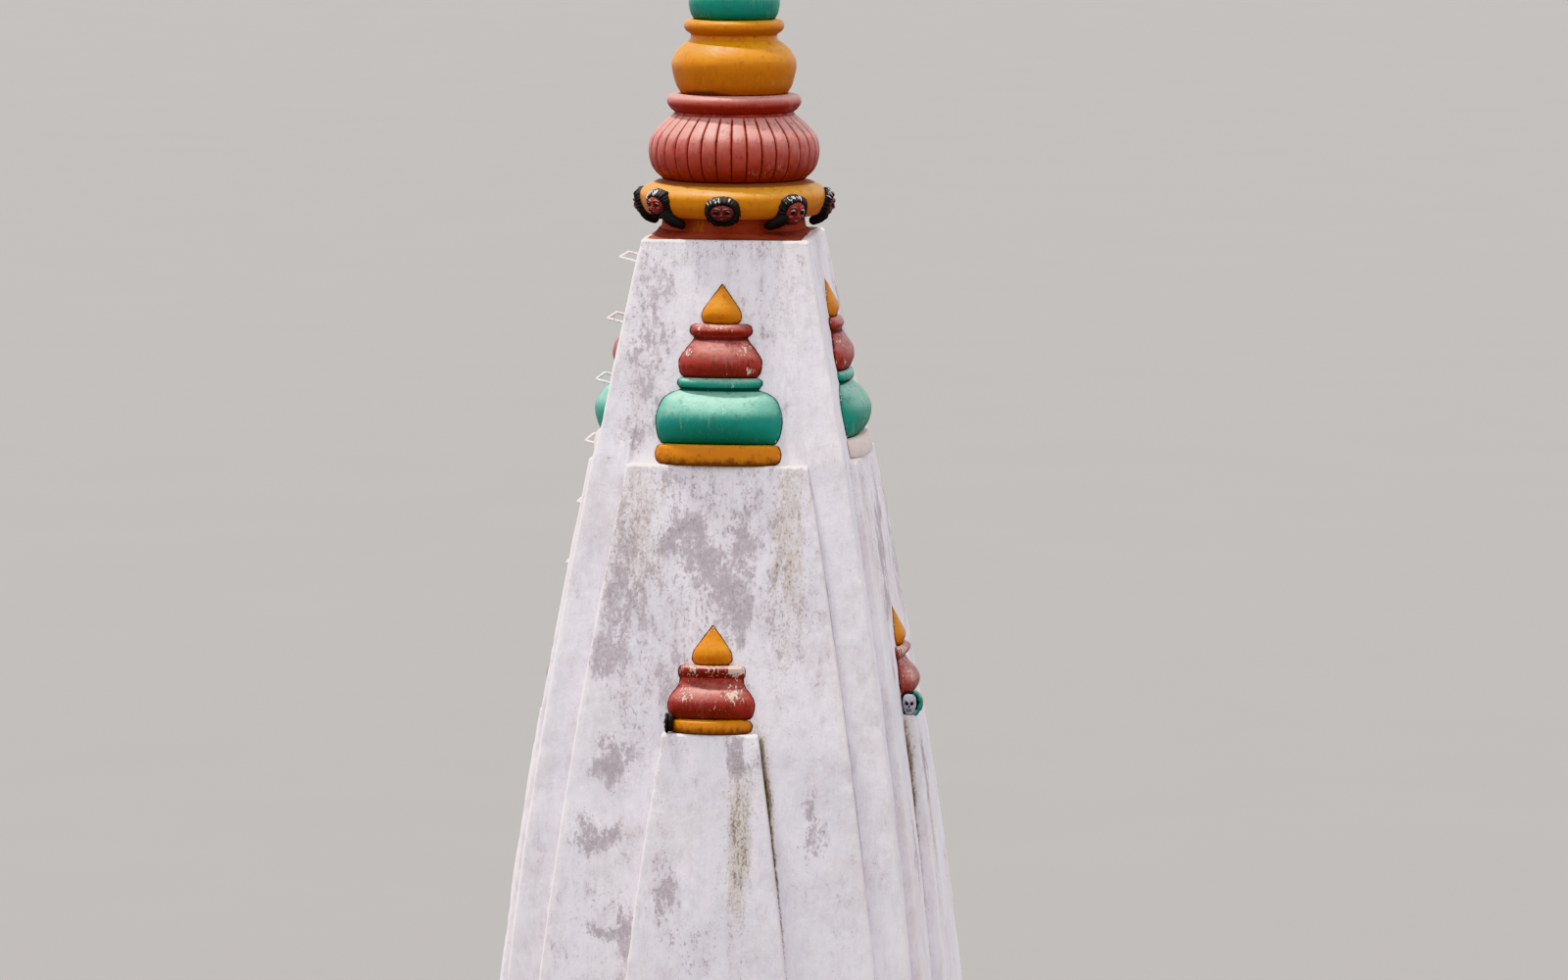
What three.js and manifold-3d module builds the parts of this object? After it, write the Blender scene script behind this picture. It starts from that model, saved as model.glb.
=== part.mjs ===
// A plastered masonry temple spire with painted pot finials, in millimetres, +Z up.
// The origin is the middle of the underside of the plinth.
import * as THREE from 'three';
import Module from 'manifold-3d';
import { mergeVertices } from 'three/addons/utils/BufferGeometryUtils.js';

// Masonry
const bodyHeight = 8500; // ground to the flat top of the spire
const plinthHeight = 750;
const plinthStepHeight = 330;
const plinthHalfWidth = 1740;
const plinthStepHalfWidth = 1880;
const topHalfWidth = 548;
const baseHalfWidth = 1476;
const topTaper = 0.2; // how far the wall leans at the very top, per millimetre of height
const courseCount = 16; // straight stretches that make up the curved wall
const gap = 0.3; // left between pieces that touch

// Raised panels on each face, and the thicker render of the corners
const wideLedge = 1449; // depth of the upper ledge below the flat top
const narrowLedge = 3169;
const wideDepthTop = 60;
const wideDepthBase = 100;
const narrowDepth = 83;
const cornerStripTop = 230; // from the corner to the wide panel, at its ledge
const cornerStripBase = 190;
const narrowInset = 576; // from the wide panel's edge to the narrow one's
const cornerRender = 12;
const cornerRenderTop = 1330;

// Pot finials: half pots on the faces, full pots on top
const faceSegments = 18;
const topSegments = 26;
const ribCount = 34;
const ribDepth = 13;
const maskCount = 8;

// Step irons on the left face
const rungCount = 6;
const rungFirst = 155; // depth of the top one below the flat top
const rungSpacing = 410;
const rungHalfLength = 210;
const rungOffset = -50; // along the face, from its middle
const rungReach = 164; // how far one stands out from the wall, or from the panel lower down
const rungReachPanel = 80;
const rungRadius = 9;
const rungRise = 0.25; // how far a leg climbs for each millimetre that it stands out
const rungBend = 34;

const curveHeight = bodyHeight - plinthHeight;

const wasm = await Module();
wasm.setup();

// A closed geometry as a solid that can be cut and joined
function toSolid(geometry) {
  const bare = geometry.clone();
  bare.deleteAttribute('normal');
  bare.deleteAttribute('uv');
  const merged = mergeVertices(bare, 0.001);
  const index = merged.index.array;
  const triangles = [];
  for (let i = 0; i < index.length; i += 3) {
    const [a, b, c] = [index[i], index[i + 1], index[i + 2]];
    if (a !== b && b !== c && c !== a) triangles.push(a, b, c);
  }
  return new wasm.Manifold(new wasm.Mesh({
    numProp: 3,
    vertProperties: new Float32Array(merged.attributes.position.array),
    triVerts: new Uint32Array(triangles),
  }));
}

function toGeometry(solid) {
  const mesh = solid.getMesh();
  const geometry = new THREE.BufferGeometry();
  geometry.setAttribute('position', new THREE.BufferAttribute(mesh.vertProperties, 3));
  geometry.setIndex(new THREE.BufferAttribute(mesh.triVerts, 1));
  geometry.computeVertexNormals();
  return geometry;
}

// Half width of the bare wall at a depth below the flat top: steep there, upright at the plinth
function wallAt(depth) {
  const t = THREE.MathUtils.clamp(depth / curveHeight, 0, 1);
  const fromTop = 2 * t ** 3 - 3 * t ** 2 + 1;
  const lean = t ** 3 - 2 * t ** 2 + t;
  return fromTop * topHalfWidth + lean * curveHeight * topTaper + (1 - fromTop) * baseHalfWidth;
}

// Share of the way from the upper ledge down to the plinth
function panelShare(depth) {
  return (depth - wideLedge) / (curveHeight - wideLedge);
}

function wideFaceAt(depth) {
  return wallAt(depth) + THREE.MathUtils.lerp(wideDepthTop, wideDepthBase, panelShare(depth));
}

function wideEdgeAt(depth) {
  return wallAt(depth) - THREE.MathUtils.lerp(cornerStripTop, cornerStripBase, panelShare(depth));
}

function narrowEdgeAt(depth) {
  return wideEdgeAt(depth) - narrowInset;
}

// Depths of the wall's joints from one level down to another, the two ends among them
function courses(from, to) {
  const step = curveHeight / courseCount;
  const depths = [from];
  for (let i = 0; i <= courseCount; i += 1) {
    if (i * step > from + 1 && i * step < to - 1) depths.push(i * step);
  }
  depths.push(to);
  return depths;
}

// A slab that follows the wall, between x limits and y limits given as functions of the depth
function wallSlab(depths, xFrom, xTo, yFrom, yTo) {
  const geometry = new THREE.BoxGeometry(1, 1, 1, 1, 1, depths.length - 1);
  const position = geometry.attributes.position;
  for (let i = 0; i < position.count; i += 1) {
    const level = Math.round((0.5 - position.getZ(i)) * (depths.length - 1));
    const depth = depths[level];
    const x = position.getX(i) < 0 ? xFrom(depth) : xTo(depth);
    const y = position.getY(i) < 0 ? yFrom(depth) : yTo(depth);
    position.setXYZ(i, x, y, bodyHeight - depth);
  }
  return geometry;
}

// A square body that is turned like a lathe with four sides
function squareBody(points) {
  const corners = points.map(([half, z]) => new THREE.Vector2(half * Math.SQRT2, z));
  const geometry = new THREE.LatheGeometry(corners, 4, Math.PI / 4);
  return geometry.rotateX(Math.PI / 2);
}

function spireCore() {
  const depths = courses(0, curveHeight - gap);
  const side = depths.map((depth) => [wallAt(depth), bodyHeight - depth]).reverse();
  let solid = toSolid(squareBody([[0, plinthHeight + gap], ...side, [0, bodyHeight]]));
  const thick = courses(cornerRenderTop, curveHeight - gap);
  for (const [sx, sy] of [[1, 1], [1, -1], [-1, 1], [-1, -1]]) {
    const inner = (depth) => wideEdgeAt(depth);
    const outer = (depth) => wallAt(depth) + cornerRender;
    const [xFrom, xTo] = sx > 0 ? [inner, outer] : [(d) => -outer(d), (d) => -inner(d)];
    const [yFrom, yTo] = sy > 0 ? [inner, outer] : [(d) => -outer(d), (d) => -inner(d)];
    solid = solid.add(toSolid(wallSlab(thick, xFrom, xTo, yFrom, yTo)));
  }
  return solid;
}

function plinth() {
  return squareBody([
    [0, 0],
    [plinthStepHalfWidth, 0],
    [plinthStepHalfWidth, plinthStepHeight],
    [plinthHalfWidth, plinthStepHeight],
    [plinthHalfWidth, plinthHeight],
    [0, plinthHeight],
  ]);
}

function widePanel() {
  const edge = (depth) => wideEdgeAt(depth) - gap;
  return wallSlab(courses(wideLedge, curveHeight - gap), (d) => -edge(d), edge,
    (d) => -wideFaceAt(d), (d) => -wallAt(d) - gap);
}

function narrowPanel() {
  return wallSlab(courses(narrowLedge, curveHeight - gap), (d) => -narrowEdgeAt(d), narrowEdgeAt,
    (d) => -wideFaceAt(d) - narrowDepth, (d) => -wideFaceAt(d) - gap);
}

// Outlines are [half width, height] pairs, measured up from each piece's own seat. The pieces that
// stand against a wall have a third number, how far they stand out from it.
const pot = {
  green: [[372, 0, 52], [400, 50, 101], [414, 130, 143], [408, 205, 149], [374, 285, 103],
    [318, 328, 52], [258, 350, 42], [262, 364, 66], [277, 384, 75], [276, 408, 74], [252, 428, 58]],
  red: [[238, 0, 50], [260, 30, 74], [272, 80, 100], [266, 125, 105], [240, 165, 97],
    [210, 205, 76], [178, 245, 55], [176, 262, 52], [196, 280, 60], [203, 306, 75],
    [196, 332, 66], [172, 348, 48]],
  lowRed: [[250, 0, 40], [272, 26, 60], [282, 75, 97], [278, 125, 110], [248, 172, 94],
    [216, 215, 58], [206, 258, 32], [214, 276, 40], [218, 306, 72], [210, 334, 85],
    [190, 348, 68]],
  bud: [[108, 0, 36], [126, 28, 50], [128, 62, 63], [115, 96, 61], [93, 128, 50], [70, 160, 38],
    [47, 192, 27], [21, 226, 15], [0, 256, 0]],
  ring: [[378, 0, 98], [402, 18, 106], [412, 55, 111], [409, 92, 110], [390, 122, 103],
    [352, 132, 92]],
  lowRing: [[238, 0, 95], [262, 12, 104], [270, 38, 108], [267, 62, 106], [250, 82, 100],
    [220, 88, 88]],
  foot: [[496, 0], [478, 60], [470, 118]],
  maskRing: [[462, 0], [566, 14], [608, 68], [622, 124], [616, 162], [588, 190], [528, 222],
    [470, 240]],
  ribbed: [[470, 0], [540, 74], [567, 180], [548, 285], [478, 368], [408, 428], [396, 448]],
  ribbedRim: [[418, 464], [442, 500], [444, 530], [430, 554], [398, 568]],
  yellow: [[352, 0], [388, 66], [413, 182], [398, 250], [352, 310], [300, 348], [288, 368],
    [288, 392], [314, 410], [330, 434], [330, 462], [316, 482], [292, 490]],
  topGreen: [[268, 0], [290, 45], [301, 110], [292, 165], [250, 222], [206, 250], [206, 266],
    [220, 284], [222, 306], [200, 330]],
  topBud: [[124, 0], [140, 32], [143, 70], [129, 107], [104, 143], [78, 179], [52, 215], [24, 252],
    [0, 286]],
};

// A turned piece about the Z axis, closed at both ends
function turned(outline, segments, grow = 0) {
  const points = outline.map(([r, z]) => new THREE.Vector2(r > 0 ? r + grow : 0, z));
  const top = points[points.length - 1];
  points.unshift(new THREE.Vector2(0, 0));
  if (top.x > 0) points.push(new THREE.Vector2(0, top.y));
  return new THREE.LatheGeometry(points, segments).rotateX(Math.PI / 2);
}

// A turned piece that is flattened and set against the front wall, with its back left in the wall
function againstWall(outline, seat, faceAt, grow = 0) {
  const geometry = turned(outline, faceSegments, grow);
  const position = geometry.attributes.position;
  for (let i = 0; i < position.count; i += 1) {
    const up = position.getZ(i);
    const [halfWidth, , standOut] = outline.find(([, height]) => Math.abs(height - up) < 0.01);
    const flatness = halfWidth > 0 ? standOut / halfWidth : 0;
    const z = up + seat;
    position.setXYZ(i, position.getX(i), position.getY(i) * flatness - faceAt(bodyHeight - z), z);
  }
  return toSolid(geometry);
}

// Everything behind the given face, a touch proud of it
function behind(faceAt) {
  const across = () => baseHalfWidth;
  return toSolid(wallSlab(courses(0, curveHeight), (d) => -across(d), across,
    (d) => -faceAt(d) - gap, () => 0));
}

const behindWall = behind(wallAt);
const behindPanel = behind(wideFaceAt);

function halfPiece(outline, seat, faceAt, cutter) {
  return againstWall(outline, seat, faceAt).subtract(cutter);
}

// Where each piece of a stack stands, from the ledge up
function stackSeats(ledgeDepth, outlines) {
  let seat = bodyHeight - ledgeDepth + gap;
  return outlines.map((outline) => {
    const at = seat;
    seat += outline[outline.length - 1][1] + gap;
    return at;
  });
}

const upperOutlines = [pot.ring, pot.green, pot.red, pot.bud];
const upperNames = ['ring', 'green_pot', 'red_pot', 'bud'];
const lowerOutlines = [pot.lowRing, pot.lowRed, pot.bud];
const lowerNames = ['ring', 'red_pot', 'bud'];
const upperSeats = stackSeats(wideLedge, upperOutlines);
const lowerSeats = stackSeats(narrowLedge, lowerOutlines);

// A lion mask's rough form: a squashed ball, as half sizes across, out and up
function maskBoss(across, out, up) {
  return new THREE.SphereGeometry(1, 10, 6).rotateX(Math.PI / 2).scale(across, out, up);
}

function upperStack() {
  return upperOutlines.map((outline, i) => halfPiece(outline, upperSeats[i], wallAt, behindWall));
}

function lowerStack() {
  const solids = lowerOutlines.map((outline, i) => (
    halfPiece(outline, lowerSeats[i], wideFaceAt, behindPanel)));
  // one mask looks sideways from the ring's left end
  const mask = { across: 66, out: 58, up: 78, x: -262, lift: 78, forward: 46 };
  const ball = maskBoss(mask.out, mask.across, mask.up);
  const face = wideFaceAt(narrowLedge);
  ball.translate(mask.x, -face - mask.forward, lowerSeats[0] + mask.lift);
  const clearOfPot = againstWall(pot.lowRed, lowerSeats[1], wideFaceAt, 2);
  const slice = new THREE.BoxGeometry(600, 600, 600).translate(0, -face, lowerSeats[0] - 300);
  solids[0] = solids[0].add(toSolid(ball))
    .subtract(behindPanel).subtract(clearOfPot).subtract(toSolid(slice));
  return solids;
}

function ribbedPot() {
  const segments = ribCount * 2;
  const geometry = turned([...pot.ribbed, ...pot.ribbedRim], segments);
  const position = geometry.attributes.position;
  const ribTop = pot.ribbed[pot.ribbed.length - 1][1];
  for (let i = 0; i < position.count; i += 1) {
    const [x, y, z] = [position.getX(i), position.getY(i), position.getZ(i)];
    const radius = Math.hypot(x, y);
    const turn = Math.round((Math.atan2(y, x) / (2 * Math.PI)) * segments);
    if (radius > 1 && z > 1 && z < ribTop && turn % 2 !== 0) {
      const shrink = (radius - ribDepth) / radius;
      position.setXY(i, x * shrink, y * shrink);
    }
  }
  return toSolid(geometry);
}

function maskRing() {
  const mask = { across: 117, out: 70, up: 104, nod: 0.33, radius: 606, lift: 74 };
  let solid = toSolid(turned(pot.maskRing, topSegments));
  for (let i = 0; i < maskCount; i += 1) {
    const boss = maskBoss(mask.across, mask.out, mask.up).rotateX(mask.nod);
    boss.translate(0, -mask.radius, mask.lift).rotateZ((i * 2 * Math.PI) / maskCount);
    solid = solid.add(toSolid(boss));
  }
  return solid;
}

// A step iron stands on the wall among the upper pots, or lower down on the wide panel
function footingAt(depth) {
  if (depth > wideLedge) return { faceAt: wideFaceAt, reach: rungReachPanel, obstacles: [behindPanel] };
  const stack = upperOutlines.map((outline, i) => againstWall(outline, upperSeats[i], wallAt, 2));
  return { faceAt: wallAt, reach: rungReach, obstacles: [behindWall, ...stack] };
}

// One step iron, a round bar bent like a wide staple, in the front face's frame
function stepIron(number) {
  const depth = rungFirst + number * rungSpacing;
  const { faceAt, reach, obstacles } = footingAt(depth);
  const face = faceAt(depth);
  const end = (side, out) => new THREE.Vector3(
    rungOffset + side * rungHalfLength, -face - out, bodyHeight - depth + (out - reach) * rungRise);
  const inward = (side, by) => new THREE.Vector3(-side * by, 0, 0);
  const cornerCut = rungBend * 0.3;
  const path = new THREE.CatmullRomCurve3([
    end(-1, -rungBend),
    end(-1, reach - rungBend),
    end(-1, reach - cornerCut).add(inward(-1, cornerCut)),
    end(-1, reach).add(inward(-1, rungBend)),
    end(1, reach).add(inward(1, rungBend)),
    end(1, reach - cornerCut).add(inward(1, cornerCut)),
    end(1, reach - rungBend),
    end(1, -rungBend),
  ], false, 'centripetal');
  const section = new THREE.Shape().absarc(0, 0, rungRadius, 0, 2 * Math.PI);
  const bar = new THREE.ExtrudeGeometry(section, {
    extrudePath: path, steps: 16, curveSegments: 4, bevelEnabled: false,
  });
  const solid = obstacles.reduce((rest, obstacle) => rest.subtract(obstacle), toSolid(bar));
  // a leg that ends in a pot leaves a crumb behind it, which is dropped
  return solid.decompose().reduce((a, b) => (a.volume() > b.volume() ? a : b));
}

const paint = {
  limewash: { color: 0xdcd8dc, roughness: 0.85 },
  oxideRed: { color: 0x8a2d20, roughness: 0.6 },
  ochre: { color: 0xcf851c, roughness: 0.35 },
  green: { color: 0x168062, roughness: 0.35 },
  red: { color: 0x9c362e, roughness: 0.4 },
  whiteIron: { color: 0xd6d2d0, roughness: 0.5 },
};

function piece(name, shape, look) {
  const geometry = shape instanceof THREE.BufferGeometry ? shape : toGeometry(shape);
  const mesh = new THREE.Mesh(geometry, new THREE.MeshStandardMaterial({ ...look, metalness: 0 }));
  mesh.name = name;
  return mesh;
}

function raised(mesh, z) {
  mesh.position.z = z;
  return mesh;
}

const spire = new THREE.Group();
spire.add(piece('plinth', plinth(), paint.limewash));
spire.add(piece('spire_core', spireCore(), paint.limewash));

const stackLooks = { ring: paint.ochre, green_pot: paint.green, red_pot: paint.red, bud: paint.ochre };
['front', 'right', 'back', 'left'].forEach((face, turn) => {
  const side = new THREE.Group();
  side.rotation.z = (turn * Math.PI) / 2;
  side.add(piece(`wide_panel_${face}`, widePanel(), paint.limewash));
  side.add(piece(`narrow_panel_${face}`, narrowPanel(), paint.limewash));
  upperStack().forEach((solid, i) => {
    side.add(piece(`upper_${upperNames[i]}_${face}`, solid, stackLooks[upperNames[i]]));
  });
  lowerStack().forEach((solid, i) => {
    side.add(piece(`lower_${lowerNames[i]}_${face}`, solid, stackLooks[lowerNames[i]]));
  });
  if (face === 'left') {
    for (let i = 0; i < rungCount; i += 1) {
      side.add(piece(`step_iron_${i + 1}`, stepIron(i), paint.whiteIron));
    }
  }
  spire.add(side);
});

// The flat top and the stack of pots on it, each seated on the one below
const topBed = 6;
const topBedInset = 12;
const bedHalf = topHalfWidth - topBedInset;
const bed = new THREE.BoxGeometry(2 * bedHalf, 2 * bedHalf, topBed).translate(0, 0, topBed / 2);
spire.add(raised(piece('top_bed', bed, paint.oxideRed), bodyHeight + gap));
let level = bodyHeight + topBed + 2 * gap;
const crown = [
  ['crown_foot', turned(pot.foot, topSegments), pot.foot, paint.oxideRed],
  ['crown_mask_ring', maskRing(), pot.maskRing, paint.ochre],
  ['crown_ribbed_pot', ribbedPot(), pot.ribbedRim, paint.red],
  ['crown_yellow_pot', turned(pot.yellow, topSegments), pot.yellow, paint.ochre],
  ['crown_green_pot', turned(pot.topGreen, topSegments), pot.topGreen, paint.green],
  ['crown_bud', turned(pot.topBud, topSegments), pot.topBud, paint.ochre],
];
for (const [name, shape, outline, look] of crown) {
  spire.add(raised(piece(name, shape, look), level));
  level += outline[outline.length - 1][1] + gap;
}

export default spire;
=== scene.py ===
# Temple spire: a whitewashed masonry tower with painted cement pots, dressed over its plain solids
import bpy
import math
import random
import numpy as np
from mathutils import Matrix, Vector, noise


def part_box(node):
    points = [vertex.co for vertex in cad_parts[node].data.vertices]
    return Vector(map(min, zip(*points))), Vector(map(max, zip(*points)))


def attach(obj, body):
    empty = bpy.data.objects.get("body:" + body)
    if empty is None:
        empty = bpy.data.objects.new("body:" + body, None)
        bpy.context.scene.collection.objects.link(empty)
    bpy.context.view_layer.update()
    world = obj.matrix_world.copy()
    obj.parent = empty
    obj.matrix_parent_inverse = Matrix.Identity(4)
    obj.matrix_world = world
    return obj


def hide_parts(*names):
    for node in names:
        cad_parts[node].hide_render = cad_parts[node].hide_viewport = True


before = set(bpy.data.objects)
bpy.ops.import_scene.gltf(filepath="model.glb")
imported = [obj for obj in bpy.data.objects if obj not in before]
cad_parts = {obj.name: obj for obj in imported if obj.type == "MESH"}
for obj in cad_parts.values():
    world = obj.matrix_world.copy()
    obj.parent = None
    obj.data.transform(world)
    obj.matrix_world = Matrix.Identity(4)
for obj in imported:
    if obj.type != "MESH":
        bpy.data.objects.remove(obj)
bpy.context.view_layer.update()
print("frame:", len(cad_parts), "nodes")


def addObject(name, data):
    made = bpy.data.objects.new(name, data)
    bpy.context.scene.collection.objects.link(made)
    return made


# Camera, at the photograph's viewing angle
cameraValues = {
    "place": (4.9503, -40.2684, 11.9116),
    "lens": 140.44,  # mm, on a 36 mm sensor
    "heading": 6.529,  # degrees round to the left of the front face
    "pitch": 7.208,  # degrees down
    "roll": 0.189,
}
cameraData = bpy.data.cameras.new("photoCamera")
cameraData.lens = cameraValues["lens"]
cameraData.sensor_width = 36
cameraData.clip_end = 2000
camera = addObject("photoCamera", cameraData)
camera.matrix_world = (
    Matrix.Translation(cameraValues["place"])
    @ Matrix.Rotation(math.radians(cameraValues["heading"]), 4, "Z")
    @ Matrix.Rotation(math.radians(90 - cameraValues["pitch"]), 4, "X")
    @ Matrix.Rotation(math.radians(cameraValues["roll"]), 4, "Z")
)
bpy.context.scene.camera = camera


# Wires a socket in, or types a value in
def feed(socket, value):
    if isinstance(value, bpy.types.NodeSocket):
        socket.id_data.links.new(value, socket)
    else:
        socket.default_value = value


# A new node, its inputs given by name, in the given tree or in the one that its inputs come from
def put(kind, settings=None, tree=None, **inputs):
    tree = tree or next(v.id_data for v in inputs.values() if isinstance(v, bpy.types.NodeSocket))
    made = tree.nodes.new("ShaderNode" + kind)
    for key, value in (settings or {}).items():
        setattr(made, key, value)
    for key, value in inputs.items():
        feed(made.inputs[key.replace("_", " ")], value)
    return made


def calc(operation, first, second):
    made = put("Math", {"operation": operation}, first.id_data)
    feed(made.inputs[0], first)
    feed(made.inputs[1], second)
    return made.outputs[0]


# Sums values that each have a weight
def weigh(*pairs):
    total = None
    for value, weight in pairs:
        part = calc("MULTIPLY", value, weight)
        total = part if total is None else calc("ADD", total, part)
    return total


# Eases a value in between two levels
def remap(value, low, high, toLow=0.0, toHigh=1.0):
    made = put("MapRange", {"interpolation_type": "SMOOTHSTEP"}, Value=value,
               From_Min=low, From_Max=high, To_Min=toLow, To_Max=toHigh)
    return made.outputs[0]


# How much of a coat shows, from weighted values
def share(*pairs, low, high, most=1.0):
    return remap(weigh(*pairs), low, high, 0, most)


def mixTint(amount, under, over):
    made = put("Mix", {"data_type": "RGBA"}, amount.id_data)
    feed(made.inputs[0], amount)
    for index, tint in ((6, under), (7, over)):
        feed(made.inputs[index], (*tint, 1) if isinstance(tint, tuple) else tint)
    return made.outputs[2]


# Coats laid one over another, each as a share and a tint
def layered(tint, *coats):
    for amount, over in coats:
        tint = mixTint(amount, tint, over)
    return tint


# Noise of a size in metres; a tall stretch makes runs down a wall
def grain(place, size, detail=4.0, rough=0.55, tall=1.0):
    if tall != 1.0:
        place = put("Mapping", Vector=place, Scale=(1, 1, 1 / tall)).outputs[0]
    return put("TexNoise", Vector=place, Scale=1 / size, Detail=detail, Roughness=rough).outputs[0]


def newMaterial(name):
    mat = bpy.data.materials.new(name)
    mat.use_nodes = True
    return mat, put("TexCoord", tree=mat.node_tree).outputs["Object"]


def attribute(mat, name):
    return put("Attribute", {"attribute_name": name}, mat.node_tree).outputs["Fac"]


# Gives a material its colour, its roughness and its relief
def dress(mat, tint, roughness, relief=None, depth=0.0, specular=0.5):
    inputs = mat.node_tree.nodes["Principled BSDF"].inputs
    feed(inputs["Base Color"], tint)
    feed(inputs["Roughness"], roughness)
    feed(inputs["Specular IOR Level"], specular)
    if relief is not None:
        feed(inputs["Normal"], put("Bump", Height=relief, Distance=depth).outputs[0])
    return mat


limewashValues = {
    "white": (0.850, 0.815, 0.845),
    "cool": (0.640, 0.625, 0.675),
    "warm": (0.720, 0.650, 0.645),
    "cream": (0.860, 0.800, 0.720),  # on rubbed edges, also the painted highlight along the ledge tops and arrises
    "haze": (0.620, 0.545, 0.560),  # round the worn patches
    "thin": (0.495, 0.443, 0.468),  # where the coat has worn thin
    "thinner": (0.605, 0.550, 0.578),
    "greyCoat": (0.380, 0.350, 0.380),  # older coat in the middle of the worn patches
    "fleck": (0.250, 0.225, 0.235),
    "beige": (0.500, 0.410, 0.310),
    "brown": (0.130, 0.092, 0.058),
    "moss": (0.300, 0.280, 0.220),
    "crackedFrom": 8.10,  # height above which the coat has upright cracks
}


def limewash():
    v = limewashValues
    mat, place = newMaterial("limewash")
    flake, chips, grime = attribute(mat, "flake"), attribute(mat, "chips"), attribute(mat, "grime")
    crease, rubAndHighlight = attribute(mat, "crease"), attribute(mat, "rubAndHighlight")
    beside = put("Mapping", Vector=place, Location=(7.3, 2.1, 4.4)).outputs[0]
    height = put("SeparateXYZ", Vector=place).outputs["Z"]
    broad = grain(place, 0.9)
    trowel = grain(place, 0.13, 5, 0.50)
    drift = grain(beside, 0.42, 5, 0.60, tall=1.6)
    cloud = grain(place, 0.20, 7, 0.66, tall=1.9)
    patch = grain(place, 0.060, 9, 0.74, tall=2.2)
    speck = grain(place, 0.011, 3, 0.62, tall=1.9)
    peel = grain(beside, 0.024, 7, 0.74, tall=1.7)
    run = grain(place, 0.045, 6, 0.64, tall=11)
    brush = grain(place, 0.013, 3, 0.60, tall=16)
    dash = grain(place, 0.0075, 2, 0.50, tall=15)

    # worn patches: a faint haze round broken grey, darker in the middle
    worn = weigh((flake, 0.42), (cloud, 0.62), (patch, 0.52), (run, 0.20), (speck, 0.12), (peel, 0.36))
    grey = remap(worn, 1.062, 1.098, 0, 0.66)
    mottled = mixTint(share((patch, 0.6), (run, 0.4), low=0.42, high=0.58), v["thinner"], v["thin"])
    bits = share((peel, 1.0), (flake, 0.34), (chips, 0.19), low=0.735, high=0.755, most=0.78)
    pepper = share((speck, 1.0), (worn, 0.31), (grime, 0.12), low=0.978, high=1.008, most=0.50)
    stain = weigh((grime, 0.45), (run, 0.55), (speck, 0.55), (patch, 0.30), (crease, 0.25))
    dirt = share((crease, 0.90), (patch, 0.75), (speck, 0.50), (run, 0.30), low=1.42, high=1.74, most=0.92)
    splash = share((height, -0.7), (patch, 1.2), (run, 1.0), low=0.62, high=1.45, most=0.50)
    # short upright cracks and drip marks near the top
    low = 0.35 * v["crackedFrom"] + 0.875
    crack = share((height, 0.35), (cloud, 0.16), (dash, 1.0), low=low, high=low + 0.03, most=0.70)

    tint = layered(
        v["white"],
        (share((broad, 0.5), (cloud, 0.5), low=0.44, high=0.62, most=0.48), v["cool"]),
        (share((drift, 0.6), (patch, 0.4), low=0.47, high=0.64, most=0.65), v["warm"]),
        (share((run, 0.45), (brush, 0.30), (patch, 0.25), low=0.46, high=0.62, most=0.43), v["cool"]),
        (share((peel, 0.5), (run, 0.5), low=0.50, high=0.60, most=0.60), v["white"]),
        (remap(worn, 0.945, 1.13, 0, 0.62), v["haze"]),
        (grey, mottled),
        (remap(worn, 1.150, 1.185, 0, 0.40), v["greyCoat"]),
        (bits, v["thin"]),
        (pepper, v["fleck"]),
        (remap(stain, 0.84, 1.16, 0, 0.62), v["beige"]),
        (remap(stain, 1.08, 1.20, 0, 0.55), v["brown"]),
        (dirt, v["brown"]),
        (splash, v["moss"]),
        # cream on rubbed edges and a painted highlight along the ledge tops and arrises
        (weigh((rubAndHighlight, 0.7)), v["cream"]),
        (crack, v["fleck"]),
    )
    relief = weigh((trowel, 0.55), (brush, 0.16), (speck, 0.14),
                   (grey, -0.10), (crack, -0.357), (dirt, -0.12))
    return dress(mat, tint, remap(patch, 0.3, 0.7, 0.80, 0.95), relief, 0.010, specular=0.25)
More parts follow.
